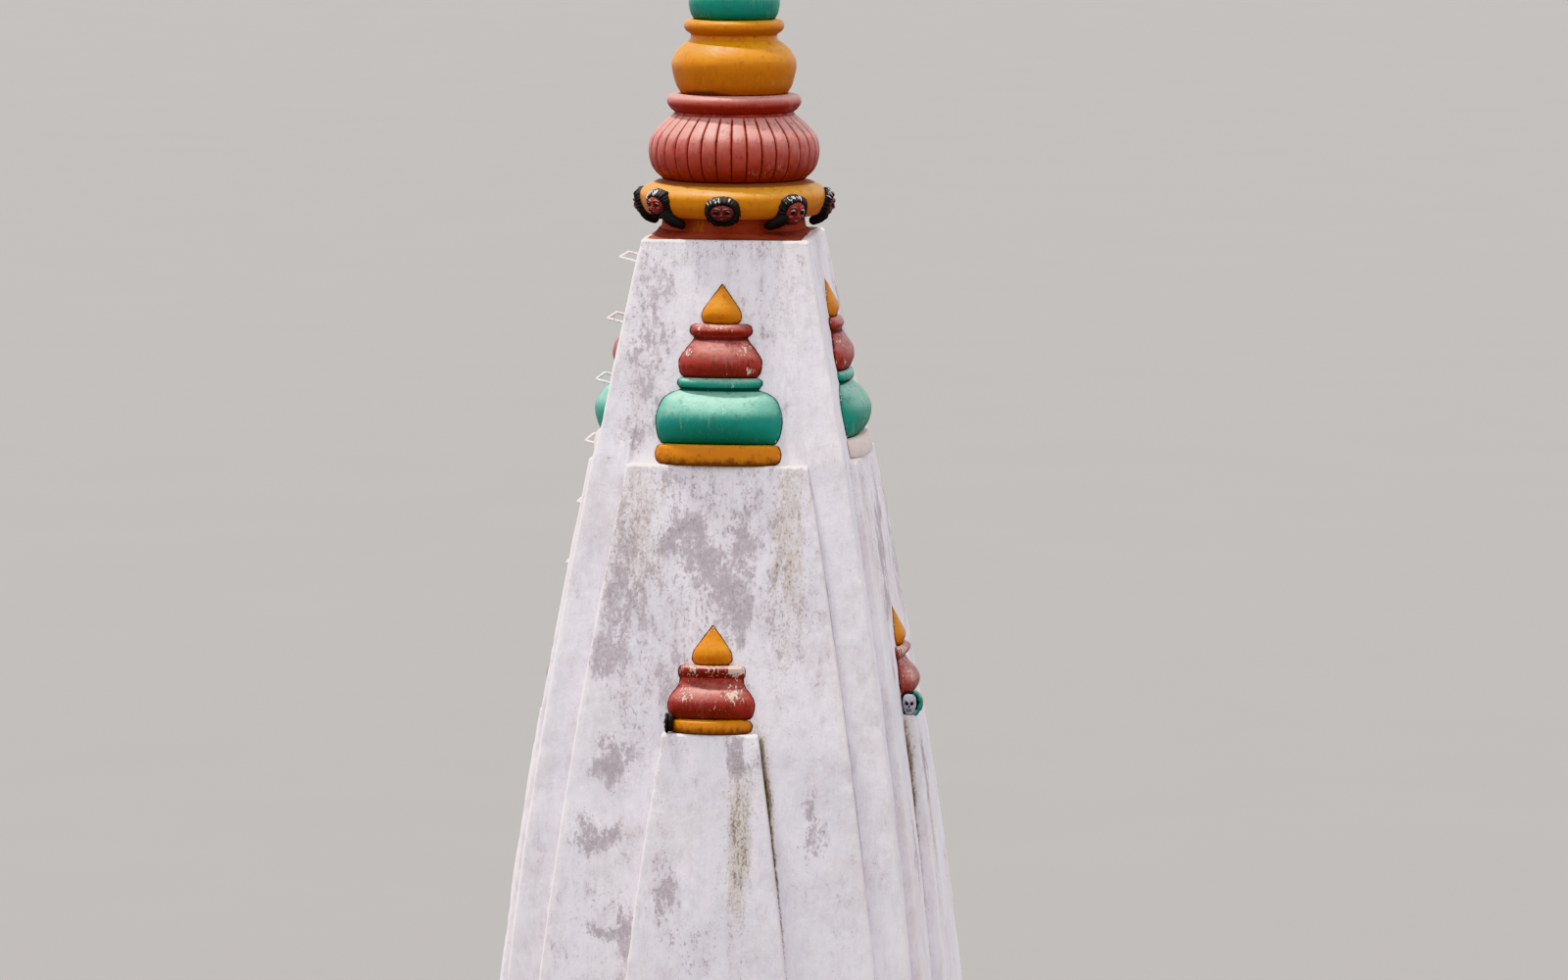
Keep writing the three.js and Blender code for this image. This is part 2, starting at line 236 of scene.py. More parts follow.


# Gloss paint on cement: faded and dusty above, with a painted highlight on the faces that look up; painted
# shade on the faces that look down; dirt and painted shade in the hollows
def enamel(name, body, deep, faded, fadeAndHighlight=0.85, gloss=0.30, limeTint=(0.76, 0.70, 0.68), dirtAndShadeTint=None,
           blotch=0.60, blotchFrom=0.50):
    mat, place = newMaterial(name)
    dirtAndShadeTint = dirtAndShadeTint or tuple(0.25 * c + 0.006 for c in deep)
    hollow, lime = attribute(mat, "hollow"), attribute(mat, "lime")
    normal = put("NewGeometry", tree=mat.node_tree).outputs["Normal"]
    facing = put("SeparateXYZ", Vector=normal).outputs["Z"]
    broad = grain(place, 0.22)
    patch = grain(place, 0.055, 6, 0.62)
    fine = grain(place, 0.012, 3, 0.60)
    run = grain(place, 0.020, 5, 0.62, tall=8)
    dab = grain(place, 0.011, 3, 0.62, tall=8)
    # faded and dusty on the faces that look up, partly a painted highlight; held back in the hollows as
    # painted shade
    above = share((facing, 1.0), (broad, 0.6), (run, 0.4), (hollow, -0.95),
                  low=0.50, high=1.38, most=fadeAndHighlight)
    # painted shade: the deep tint on the faces that look down
    below = share((facing, -1.0), (broad, 0.5), low=0.10, high=0.85)
    pale = share((broad, 0.4), (dab, 0.25), (run, 0.35), low=0.52, high=0.66, most=0.35)
    chip = share((patch, 0.7), (fine, 0.3), (lime, 0.06), low=0.655, high=0.680, most=0.35)
    # dirt and painted shade gathered in the hollows
    dirt = share((hollow, 0.80), (patch, 0.60), (run, 0.30), low=0.80, high=1.18, most=0.88)
    grit = share((fine, 1.0), (hollow, 0.10), (patch, 0.25), low=0.775, high=0.815, most=0.18)
    drip = share((run, 0.40), (dab, 0.50), (patch, 0.10), (lime, 0.20),
                 low=0.635, high=0.680, most=0.85)
    tint = layered(
        body,
        (below, deep),
        (above, faded),
        (share((patch, 0.6), (run, 0.4), low=blotchFrom, high=0.66, most=blotch), deep),
        (pale, faded),
        (chip, faded),
        (dirt, dirtAndShadeTint),
        (grit, dirtAndShadeTint),
        (drip, limeTint),
    )
    dull = weigh((above, 0.22), (below, 0.25), (dirt, 0.35), (drip, 0.3), (patch, 0.25))
    relief = weigh((patch, 0.8), (run, 0.35), (fine, 0.15), (chip, -0.571), (drip, 0.15))
    return dress(mat, tint, calc("ADD", dull, gloss - 0.1), relief, 0.0045)


ironTints = {"pale": (0.82, 0.80, 0.78), "dull": (0.70, 0.68, 0.67), "rust": (0.22, 0.10, 0.05)}


def paintedIron():
    v = ironTints
    mat, place = newMaterial("paintedIron")
    patch = grain(place, 0.05, 6, 0.65)
    fine = grain(place, 0.008, 3)
    rust = share((patch, 0.8), (fine, 0.2), low=0.57, high=0.63)
    tint = layered(v["pale"], (fine, v["dull"]), (weigh((rust, 0.8)), v["rust"]))
    relief = weigh((patch, 0.6), (fine, 0.4), (rust, -0.3))
    return dress(mat, tint, remap(rust, 0, 1, 0.45, 0.85), relief, 0.002)


# Each paint as its body, its deep tint (also its painted shade on the faces that look down) and its faded
# tint (also its painted highlight on the faces that look up)
enamelValues = {
    "oxideRed": dict(body=(0.350, 0.052, 0.026), deep=(0.150, 0.020, 0.012), faded=(0.380, 0.130, 0.095),
                     fadeAndHighlight=0.50, gloss=0.62, dirtAndShadeTint=(0.150, 0.075, 0.062)),
    "ochre": dict(body=(0.600, 0.188, 0.001), deep=(0.390, 0.088, 0.001), faded=(0.730, 0.380, 0.034),
                  fadeAndHighlight=0.64),
    "ochreRing": dict(body=(0.640, 0.230, 0.008), deep=(0.400, 0.092, 0.003), faded=(0.780, 0.420, 0.080),
                      fadeAndHighlight=0.70, dirtAndShadeTint=(0.300, 0.120, 0.070)),
    "green": dict(body=(0.022, 0.270, 0.198), deep=(0.003, 0.130, 0.085), faded=(0.350, 0.600, 0.480),
                  fadeAndHighlight=0.76),
    "red": dict(body=(0.450, 0.090, 0.066), deep=(0.215, 0.010, 0.004), faded=(0.650, 0.375, 0.325),
                fadeAndHighlight=0.80, limeTint=(0.78, 0.66, 0.58)),
    "redWorn": dict(body=(0.375, 0.050, 0.036), deep=(0.165, 0.010, 0.005), faded=(0.560, 0.290, 0.240),
                    fadeAndHighlight=0.70, limeTint=(0.74, 0.60, 0.50), blotch=0.85, blotchFrom=0.45),
    "footRed": dict(body=(0.330, 0.050, 0.025), deep=(0.150, 0.020, 0.012), faded=(0.380, 0.130, 0.095),
                    fadeAndHighlight=0.50, gloss=0.62, limeTint=(0.330, 0.100, 0.012)),
    "maneBlack": dict(body=(0.009, 0.008, 0.006), deep=(0.005, 0.005, 0.004), faded=(0.034, 0.030, 0.026),
                      gloss=0.52),
    "faceRed": dict(body=(0.270, 0.042, 0.032), deep=(0.110, 0.018, 0.014), faded=(0.440, 0.170, 0.140),
                    gloss=0.35),
    "faceBrown": dict(body=(0.150, 0.030, 0.026), deep=(0.060, 0.012, 0.010), faded=(0.300, 0.110, 0.095),
                      gloss=0.35),
    "limeWhite": dict(body=(0.720, 0.690, 0.680), deep=(0.480, 0.450, 0.440), faded=(0.800, 0.780, 0.770),
                      gloss=0.55),
    "skullWhite": dict(body=(0.560, 0.560, 0.620), deep=(0.250, 0.245, 0.290), faded=(0.720, 0.710, 0.760),
                       gloss=0.50, blotch=0.80, blotchFrom=0.45),
    "lipPink": dict(body=(0.590, 0.300, 0.270), deep=(0.360, 0.150, 0.130), faded=(0.740, 0.520, 0.480),
                    gloss=0.40),
}
finishes = {"limewash": limewash(), "paintedIron": paintedIron()}
for name, paint in enamelValues.items():
    finishes[name] = enamel(name, **paint)
print("finishes:", len(finishes))

# Studio: a high soft key from the left, an even sky and a pale floor
studioValues = {
    "keyFrom": (-0.24, 0.07, 0.95),
    "keyStrength": 3.4,
    "keyAngle": 5,  # degrees, how soft the shadows are
    "keyTint": (1.0, 0.965, 0.91),
    "skyLow": (0.88, 0.87, 0.90),
    "skyHigh": (0.98, 0.98, 1.03),
    "skyStrength": 1.08,
    "floorSize": 700,
    "floorTint": (0.250, 0.243, 0.235),
}


def addFloor():
    half = studioValues["floorSize"] / 2
    tint = studioValues["floorTint"]
    mesh = bpy.data.meshes.new("floor")
    corners = [(-half, -half, 0), (half, -half, 0), (half, half, 0), (-half, half, 0)]
    mesh.from_pydata(corners, [], [(0, 1, 2, 3)])
    mat, place = newMaterial("floorPaper")
    mottled = mixTint(grain(place, 3.0, 2), tint, tuple(c * 1.03 for c in tint))
    mesh.materials.append(dress(mat, mottled, 0.95))
    addObject("floor", mesh)


def addLights():
    v = studioValues
    key = bpy.data.lights.new("keyLight", "SUN")
    key.energy = v["keyStrength"]
    key.angle = math.radians(v["keyAngle"])
    key.color = v["keyTint"]
    keyObject = addObject("keyLight", key)
    keyObject.rotation_mode = "QUATERNION"
    keyObject.rotation_quaternion = Vector(v["keyFrom"]).to_track_quat("Z", "Y")
    world = bpy.data.worlds.new("studio")
    bpy.context.scene.world = world
    world.use_nodes = True
    background = world.node_tree.nodes["Background"]
    place = put("TexCoord", tree=world.node_tree).outputs["Generated"]
    up = put("SeparateXYZ", Vector=place).outputs["Z"]
    feed(background.inputs["Color"], mixTint(remap(up, -0.1, 0.8), v["skyLow"], v["skyHigh"]))
    feed(background.inputs["Strength"], v["skyStrength"])


addFloor()
addLights()
bpy.context.scene.view_settings.view_transform = "Khronos PBR Neutral"
print("studio: floor, key light and sky")

# Masonry sizes in metres; heights come from the frame, and the ledges are depths below the flat top
spire = {
    "top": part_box("spire_core")[1].z,
    "foot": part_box("plinth")[1].z,
    "topHalf": 0.548,
    "footHalf": 1.476,
    "taper": 0.2,
    "wideLedge": 1.449,
    "narrowLedge": 3.169,
    "wideDepthTop": 0.060,  # how far the wide panels stand out of the wall
    "wideDepthFoot": 0.100,
    "narrowDepth": 0.083,
    "stripTop": 0.230,  # the strip of wall beside a wide panel
    "stripFoot": 0.190,
    "narrowInset": 0.576,
    "cornerRender": 0.012,
}
fullDepth = spire["top"] - spire["foot"]
faceNames = ["front", "right", "back", "left"]
mirror = (1, -1, -1, 1)  # the wear of two faces is mirrored


def wallAt(depth):
    t = np.clip(np.asarray(depth, float) / fullDepth, 0, 1)
    fromTop = 2 * t**3 - 3 * t**2 + 1
    lean = t**3 - 2 * t**2 + t
    return fromTop * spire["topHalf"] + lean * fullDepth * spire["taper"] + (1 - fromTop) * spire["footHalf"]


def downPanel(depth, atTop, atFoot):
    t = (np.asarray(depth, float) - spire["wideLedge"]) / (fullDepth - spire["wideLedge"])
    return spire[atTop] * (1 - t) + spire[atFoot] * t


def wideFaceAt(depth):
    return wallAt(depth) + downPanel(depth, "wideDepthTop", "wideDepthFoot")


def wideEdgeAt(depth):
    return wallAt(depth) - downPanel(depth, "stripTop", "stripFoot")


def narrowEdgeAt(depth):
    return wideEdgeAt(depth) - spire["narrowInset"]


def narrowFaceAt(depth):
    return wideFaceAt(depth) + spire["narrowDepth"]


def bell(far, width):
    return np.exp(-((far / width) ** 2))


# Soft noise at each point
def lumps(points, size, seed):
    shift = Vector((seed * 7.31, seed * 3.17, seed * 5.73))
    found = [noise.noise(Vector(p) / size + shift) for p in points.reshape(-1, 3)]
    return np.array(found).reshape(points.shape[:-1])


def turned(points, turn):
    c, s = [(1, 0), (0, 1), (-1, 0), (0, -1)][turn]
    x, y = points[..., 0], points[..., 1]
    return np.stack([c * x - s * y, s * x + c * y, points[..., 2]], -1)


# A mesh object with its finish, its per-point attributes, and its place in the frame
def addPiece(name, points, faces, finish, nodes=(), values=None, finishOf=None, sharp=40):
    mesh = bpy.data.meshes.new(name)
    mesh.from_pydata(np.reshape(points, (-1, 3)).tolist(), [], faces)
    for item in [finish] if isinstance(finish, str) else finish:
        mesh.materials.append(finishes[item])
    if finishOf is not None:
        mesh.polygons.foreach_set("material_index", finishOf)
    for key, value in (values or {}).items():
        made = mesh.attributes.new(key, "FLOAT", "POINT")
        made.data.foreach_set("value", np.asarray(value, np.float32).reshape(-1))
    mesh.polygons.foreach_set("use_smooth", [True] * len(mesh.polygons))
    mesh.update()
    mesh.set_sharp_from_angle(angle=math.radians(sharp))
    piece = addObject(name, mesh)
    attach(piece, "root")
    if nodes:
        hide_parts(*nodes)


# Faces of a closed skin over rings of points, each ring counter-clockwise seen from above
def skinFaces(ringCount, ringSize):
    faces = []
    for i in range(ringCount - 1):
        for j in range(ringSize):
            k = (j + 1) % ringSize
            faces.append((i * ringSize + j, i * ringSize + k, (i + 1) * ringSize + k, (i + 1) * ringSize + j))
    faces.append(tuple(reversed(range(ringSize))))
    faces.append(tuple(range((ringCount - 1) * ringSize, ringCount * ringSize)))
    return faces


def addSkin(name, node, rings, finish, values, sharp=60):
    addPiece(name, rings, skinFaces(*rings.shape[:2]), finish, [node], values, sharp=sharp)


plasterValues = {
    "levelStep": 0.040,
    "arris": 0.014,  # radius of the rounded edges
    "coreArris": 0.016,
    "topWear": 0.010,
    "topSoft": 0.012,  # how far down a top edge is worn
    "letIn": 0.012,  # how far a panel is let into what carries it
    "lumpSize": 0.42,
    "lumpHeight": 0.0050,
    "trowelSize": 0.10,
    "trowelHeight": 0.0014,
    "chipSize": 0.085,
    "chipZone": 0.5,
    "chipDepth": 0.010,
    "coatFrom": 1.200,  # depth where the corner coat begins, and over which it thickens
    "coatFade": 0.240,
    "faceSteps": 34,  # points across a narrow panel
    "nook": {"wide": [0.55, 0.15], "narrow": [1.0, 0.38]},  # dirt down a panel's shaded side
    "cleanNook": [0.16, 0.04],
}


# Moves ring points in and out as a hand-laid coat, and knocks chips off the arrises
def handLaid(rings, arrisShare, seed):
    v = plasterValues
    along = np.roll(rings, -1, axis=1)[..., :2] - np.roll(rings, 1, axis=1)[..., :2]
    outward = np.stack([along[..., 1], -along[..., 0]], -1)
    outward /= np.maximum(np.linalg.norm(outward, axis=-1, keepdims=True), 1e-6)
    move = lumps(rings, v["lumpSize"], seed) * v["lumpHeight"]
    move += lumps(rings, v["trowelSize"], seed + 1) * v["trowelHeight"]
    chips = lumps(rings, v["chipSize"], seed + 2) * 1.6 + lumps(rings, v["chipZone"], seed + 3) - 0.55
    move -= np.clip(chips, 0, 1) * v["chipDepth"] * arrisShare
    moved = rings.copy()
    moved[..., :2] += outward * move[..., None]
    return moved


# Gives level rings their heights, turns them to a face and lays the coat on them
def coated(rings, heights, arrisShare, seed, turn=0):
    rings = np.array(rings, float)
    height = np.repeat(np.array(heights, float)[:, None], rings.shape[1], 1)
    rings = turned(np.concatenate([rings, height[..., None]], -1), turn)
    return handLaid(rings, np.array(arrisShare), seed), height


# The rounded corner at the right end of a front side
def cornerBend(centre, radius):
    bend = np.radians((22.5, 45, 67.5))
    return [(centre + radius * math.sin(a), -centre - radius * math.cos(a)) for a in bend]


# A front side with its corner, repeated round the four faces
def fourSides(side):
    side = np.array([(x, y, 0) for x, y in side])
    return np.concatenate([turned(side, turn)[:, :2] for turn in range(4)])


def levelsDown(start, extra=()):
    steps = np.arange(start + plasterValues["topSoft"], fullDepth, plasterValues["levelStep"])
    near = {round(start + gap, 4) for gap in (0.0, 0.004, 0.020)}
    depths = set(np.round(steps, 4)) | near | {fullDepth} | set(extra)
    return np.array(sorted(depths, reverse=True))


def topInset(depth, start):
    v = plasterValues
    return v["topWear"] * np.clip(1 - (depth - start) / v["topSoft"], 0, 1) ** 2


# Weathering on the front as soft patches: across, height, half width, half height, strength.
# "flake" is for patches where the coat has worn thin, "chips" for zones of small separate chips.
frontWear = {
    "flake": {
        "wall": [
            (-0.05, 8.10, 0.50, 0.45, 0.13), (-0.47, 8.01, 0.14, 0.40, 0.27), (-0.58, 7.52, 0.13, 0.42, 0.29),
            (-0.30, 8.25, 0.25, 0.20, 0.15), (-0.50, 8.00, 0.25, 0.60, 0.13),
        ],
        "wide": [
            (-0.08, 6.50, 0.62, 0.80, 0.20), (-0.61, 6.36, 0.13, 0.42, 0.42), (-0.19, 6.62, 0.13, 0.09, 0.62),
            (-0.06, 6.44, 0.12, 0.14, 0.52), (0.08, 6.24, 0.11, 0.14, 0.58), (0.19, 6.05, 0.08, 0.10, 0.50),
            (0.20, 6.55, 0.10, 0.55, 0.34), (-0.30, 6.95, 0.10, 0.20, 0.33), (-0.73, 5.82, 0.10, 0.13, 0.42),
            (-0.67, 5.13, 0.11, 0.09, 0.50), (-0.78, 4.67, 0.13, 0.11, 0.50), (-0.62, 4.06, 0.13, 0.05, 0.50),
            (-0.55, 3.96, 0.07, 0.26, 0.46), (0.72, 4.72, 0.07, 0.18, 0.30), (0.40, 5.75, 0.10, 0.20, 0.26),
            (-0.45, 5.60, 0.25, 0.50, 0.13), (-0.75, 4.00, 0.40, 0.45, 0.13),
        ],
        "narrow": [
            (0.19, 5.19, 0.09, 0.12, 0.84), (-0.27, 4.33, 0.07, 0.17, 0.33),
            (-0.10, 2.90, 0.20, 0.30, 0.36), (0.35, 2.30, 0.15, 0.25, 0.40),
        ],
    },
    "chips": {
        "wall": [(0.15, 8.25, 0.40, 0.25, 0.30), (-0.45, 7.70, 0.20, 0.50, 0.42)],
        "wide": [
            (0.66, 4.72, 0.09, 0.24, 0.80), (-0.72, 4.30, 0.20, 0.50, 0.42), (-0.55, 5.60, 0.20, 0.50, 0.60),
            (0.10, 6.40, 0.50, 0.60, 0.40), (0.75, 3.20, 0.20, 0.60, 0.60),
        ],
        "narrow": [
            (-0.10, 3.93, 0.22, 0.22, 0.80), (0.12, 4.45, 0.06, 0.30, 0.70), (-0.27, 4.35, 0.10, 0.25, 0.62),
            (-0.30, 4.95, 0.05, 0.35, 0.60), (0.10, 2.60, 0.30, 0.40, 0.80),
        ],
    },
}
grimeValues = {
    "ledgeReach": 0.35,  # how far the beige runs reach below a ledge
    "narrowStreaks": [
        (0.21, 4.62, 0.075, 0.42, 0.80), (0.22, 3.90, 0.06, 0.50, 0.25), (-0.30, 4.80, 0.05, 0.30, 0.35),
    ],
    "wideStreaks": [
        (-0.50, 6.75, 0.16, 0.50, 0.52), (0.48, 6.55, 0.11, 0.65, 0.62), (-0.05, 7.00, 0.25, 0.20, 0.30),
    ],
    "wallBeige": [(0.40, 8.15, 0.14, 0.35, 0.34), (0.10, 8.46, 0.40, 0.10, 0.28)],
    "underTop": (0.22, 0.35),  # reach and share of the dirt below the flat top
    "overLedge": (0.08, 0.15),  # the same above the upper ledges
    "sideShare": (1.0, 0.75, 0.9, 0.8),  # how dirty each face is
    "nookHeight": 5.05,  # where beige dirt spreads beside a narrow panel
    "nookTall": 0.42,
    "nookWide": 0.055,
    "nookShare": 0.95,
    "raggedAcross": (0.17, 0.11),  # size and reach of the unevenness of a patch's edge
    "raggedUp": (0.20, 0.17),
}


def patchField(patches, across, height, seed=None):
    g = grimeValues
    total = np.zeros(across.shape)
    if seed is not None:
        spots = np.stack([across, height, 0 * across], -1)
        across = across + lumps(spots, g["raggedAcross"][0], seed) * g["raggedAcross"][1]
        height = height + lumps(spots, g["raggedUp"][0], seed + 1) * g["raggedUp"][1]
    for a, z, halfA, halfZ, strength in patches:
        spread = ((across - a) / halfA) ** 2 + ((height - z) / halfZ) ** 2
        total = np.maximum(total, strength * 1.15 * np.exp(-(spread**1.5) * 0.35))
    return total


# The other faces take the front's wear, moved and partly faded
def patchesOn(patches, turn):
    if turn == 0:
        return patches
    rng = random.Random(40 + turn)
    moved = []
    for a, z, halfA, halfZ, strength in patches:
        moved.append((mirror[turn] * a + rng.uniform(-0.08, 0.08), z + rng.uniform(-0.35, 0.15),
                      halfA * rng.uniform(0.7, 1.3), halfZ * rng.uniform(0.7, 1.2),
                      strength * rng.uniform(0.6, 1.0)))
    return moved


def wearOn(part, turn, across, height, seed):
    return {
        "flake": patchField(patchesOn(frontWear["flake"][part], turn), across, height, seed + turn),
        "chips": patchField(patchesOn(frontWear["chips"][part], turn), across, height, seed + 10 + turn),
    }


def localAcross(points, turn):
    x, y = points[..., 0], points[..., 1]
    return [x, y, -x, -y][turn]


# Points across a panel's face, closer together where a narrow panel meets it, and the dirt in that nook
def panelAcross(kind, depth, reach, side):
    if kind == "narrow":
        xs = np.linspace(-reach, reach, plasterValues["faceSteps"] + 2)[1:-1]
        return xs, np.zeros(len(xs))
    inner = max(float(narrowEdgeAt(depth)), 0.30)
    outer = np.linspace(-reach, -inner - 0.060, 13)[1:]
    near = np.array([0.030, 0.014, 0.005])
    middle = np.linspace(-inner, inner, 20)
    xs = np.concatenate([outer, -inner - near, middle, inner + near[::-1], -outer[::-1]])
    marks = np.interp(np.abs(xs) - inner, (-0.01, 0.0, 0.008, 0.016, 0.030, 0.060), (0, 1, 1, 0.78, 0.35, 0))
    return xs, marks * (depth > spire["narrowLedge"] + 0.02) * np.where(xs * side > 0, 1.0, 0.35)


# How dirty a panel is: under its ledge, in streaks and beside the narrow panel
def panelGrime(kind, turn, across, height, edge):
    g = grimeValues
    side = mirror[turn]
    below = spire["top"] - spire[kind + "Ledge"] - height
    grime = bell(below, g["ledgeReach"]) * (0.20 + 0.25 * np.abs(across / edge) ** 2)
    grime = np.maximum(grime, patchField(g[kind + "Streaks"], side * across, height)) * g["sideShare"][turn]
    junction = narrowEdgeAt(spire["top"] - height)
    beside = bell(side * across - junction, g["nookWide"]) * bell(height - g["nookHeight"], g["nookTall"])
    if kind == "narrow":
        returns = [1, 0.45, 0.1, 0.1, 0.2, 0.4]
        beside = beside * np.array(returns + [0.6] * (across.shape[1] - 12) + returns[::-1])
    grime = np.maximum(grime, g["nookShare"] * beside)
    grime[below < 0.0035] = 0.0
    return grime


# A raised panel: a slab with rounded arrises that follows the wall and ends in a ledge
def addPanel(kind, turn):
    v = plasterValues
    edgeAt, faceAt, backAt, seed = {
        "wide": (wideEdgeAt, wideFaceAt, wallAt, 3),
        "narrow": (narrowEdgeAt, narrowFaceAt, wideFaceAt, 23),
    }[kind]
    start = spire[kind + "Ledge"]
    depths = levelsDown(start)
    arris = v["arris"]
    flat = [0, 0, 0, 0]
    first, last = (v["cleanNook"], v["nook"][kind])[:: mirror[turn]]
    rings, crease, arrisShare = [], [], []
    for depth in depths:
        inset = topInset(depth, start)
        edge, face = edgeAt(depth) - inset, faceAt(depth) - inset
        back = backAt(depth) - v["letIn"]
        left = [(-edge, -back), (-edge, -(back + face) / 2)]
        for a in np.radians((0, 30, 60, 90)):
            left.append((-edge + arris - arris * math.cos(a), -face + arris - arris * math.sin(a)))
        xs, marks = panelAcross(kind, depth, edge - arris, mirror[turn])
        rings.append(left + [(x, -face) for x in xs] + [(-x, y) for x, y in reversed(left)])
        crease.append(first + flat + list(marks) + flat + last[::-1])
        arrisShare.append([0, 0.2, 1, 1, 1, 1] + [0] * len(xs) + [1, 1, 1, 1, 0.2, 0])
    rings, height = coated(rings, spire["top"] - depths, arrisShare, seed + turn, turn)
    across = localAcross(rings, turn)
    # dirt gathers down the foot of the narrow panel's shaded side, less and less going down
    under = spire["top"] - spire["narrowLedge"] - height
    long = np.clip(1.15 - under / 4.2, 0.3, 1) * np.clip(0.72 + under / 0.9, 0.72, 1)
    onTop = spire["top"] - start - height < 0.0035
    values = wearOn(kind, turn, across, height, 500)
    values["grime"] = panelGrime(kind, turn, across, height, edgeAt(spire["top"] - height))
    values["crease"] = np.array(crease) * long
    # cream along the arrises and the ledge top: rubbed edges and a painted highlight
    values["rubAndHighlight"] = np.clip(np.array(arrisShare) * 0.25 + onTop, 0, 1)
    name = faceNames[turn]
    addSkin(kind + "Panel" + name.capitalize(), f"{kind}_panel_{name}", rings, "limewash",
            values, 40)


# The square tower with its rounded corners and the thicker coat along them
def addCore():
    v, g = plasterValues, grimeValues
    arris = v["coreArris"]
    depths = levelsDown(0.0, (1.29, 1.33))
    rings, arrisShare, crease = [], [], []
    for depth in depths:
        rise = float(np.clip((depth - v["coatFrom"]) / v["coatFade"], 0, 1))
        wall = float(wallAt(depth)) - topInset(depth, 0.0)
        out = wall + spire["cornerRender"] * rise * rise * (3 - 2 * rise)
        edge = float(wideEdgeAt(depth)) + 0.001
        strip = np.linspace(-out + arris, -edge, 7)
        side = [(x, -out) for x in strip]
        side += [(x, -wall) for x in np.linspace(-edge + 0.004, edge - 0.004, 30)]
        side += [(-x, -out) for x in strip[::-1]]
        rings.append(fourSides(side + cornerBend(out - arris, arris)))
        arrisShare.append(([0.9] + [0] * (len(side) - 2) + [0.9, 1, 1, 1]) * 4)
        deep = depth > spire["wideLedge"] - 0.02
        marks = [0] * 5 + [0.05, 0.25] + [0] * 30 + [0.45, 0.05] + [0] * 8
        crease.append([m * deep for m in marks] * 4)
    rings, height = coated(rings, spire["top"] - depths, arrisShare, 60)
    perSide = rings.shape[1] // 4
    sides = []
    for turn in range(4):
        mine = slice(turn * perSide, (turn + 1) * perSide)
        across, up = localAcross(rings[:, mine], turn), height[:, mine]
        grime = patchField(g["wallBeige"], mirror[turn] * across, up)
        for far, (reach, amount) in ((spire["top"] - up, g["underTop"]),
                                     (up - spire["top"] + spire["wideLedge"], g["overLedge"])):
            grime = np.maximum(grime, bell(far, reach) * amount)
        sides.append(wearOn("wall", turn, across, up, 520))
        sides[-1]["grime"] = grime * g["sideShare"][turn]
    values = {key: np.concatenate([side[key] for side in sides], 1) for key in sides[0]}
    long = np.clip(1.2 - (spire["top"] - height - spire["wideLedge"]) / 5.0, 0.2, 1)
    values["crease"] = np.array(crease) * long * 0.8
    # cream along the core's arrises and top edge: rubbed edges and a painted highlight
    values["rubAndHighlight"] = np.clip(np.array(arrisShare) * 0.25 + (height > spire["top"] - 0.006) * 0.5, 0, 1)
    addSkin("plasterCore", "spire_core", rings, "limewash", values, 40)


plinthValues = {
    "stepHalf": 1.880,
    "stepTop": 0.330,
    "half": 1.740,
    "corner": 0.030,
    "worn": 0.016,  # how far its edges are worn back
    "perSide": 56,
    "flake": (0.20, 0.7),  # how far its coat has flaked, and the size of the flaked patches
    "chips": 0.6,
    "grime": 0.38,
}


# Two plain steps with worn edges
def addPlinth():
    v = plinthValues
    top, step = spire["foot"], v["stepTop"]

    def upright(half, low, high, count):
        return [(half, z, 0, 0) for z in np.linspace(low, high, count)]

    def wornEdge(half, z):
        return [(half - v["worn"] * 0.3, z - v["worn"] * 0.3, 1, 0), (half - v["worn"], z, 1, 0)]

    # half width, height, whether it is an edge and whether it is a nook
    outline = [(v["stepHalf"], 0.0, 0, 0)] + upright(v["stepHalf"], 0.03, step - v["worn"], 8)
    outline += wornEdge(v["stepHalf"], step)
    outline += [(v["half"] + 0.020, step + 0.003, 0, 1), (v["half"] + 0.004, step + 0.012, 0, 1)]
    outline += upright(v["half"], step + 0.04, top - v["worn"], 10) + wornEdge(v["half"], top)
    outline += [(spire["footHalf"] + 0.06, top, 1, 0), (spire["footHalf"] - 0.1, top, 1, 0)]
    rings, shares = [], []
    for half, z, edge, nook in outline:
        centre = half - v["corner"]
        side = [(x, -half) for x in np.linspace(-centre, centre, v["perSide"])]
        rings.append(fourSides(side + cornerBend(centre, v["corner"])))
        shares.append(([edge] * v["perSide"] + [1, 1, 1]) * 4)
    ground = rings[0] * 0.999
    rings, height = coated(rings, [row[1] for row in outline], shares, 80)
    rings[0, :, :2] = ground
    rings[..., :2] = np.clip(rings[..., :2], -v["stepHalf"], v["stepHalf"])
    flaked, flakeSize = v["flake"]
    values = {
        "flake": np.clip(flaked + lumps(rings, flakeSize, 90) * 0.5, 0, 0.6),
        "chips": np.full(height.shape, v["chips"]),
        "grime": np.full(height.shape, v["grime"]),
        "crease": np.repeat([[row[3]] for row in outline], rings.shape[1], 1),
        # cream along the plinth's edges: rubbed edges and a painted highlight
        "rubAndHighlight": np.array(shares) * 0.3,
    }
    addSkin("plinthSteps", "plinth", rings, "limewash", values, 40)


addCore()
for turn in range(4):
    addPanel("wide", turn)
    addPanel("narrow", turn)
addPlinth()
print("masonry: core, eight panels and the plinth")

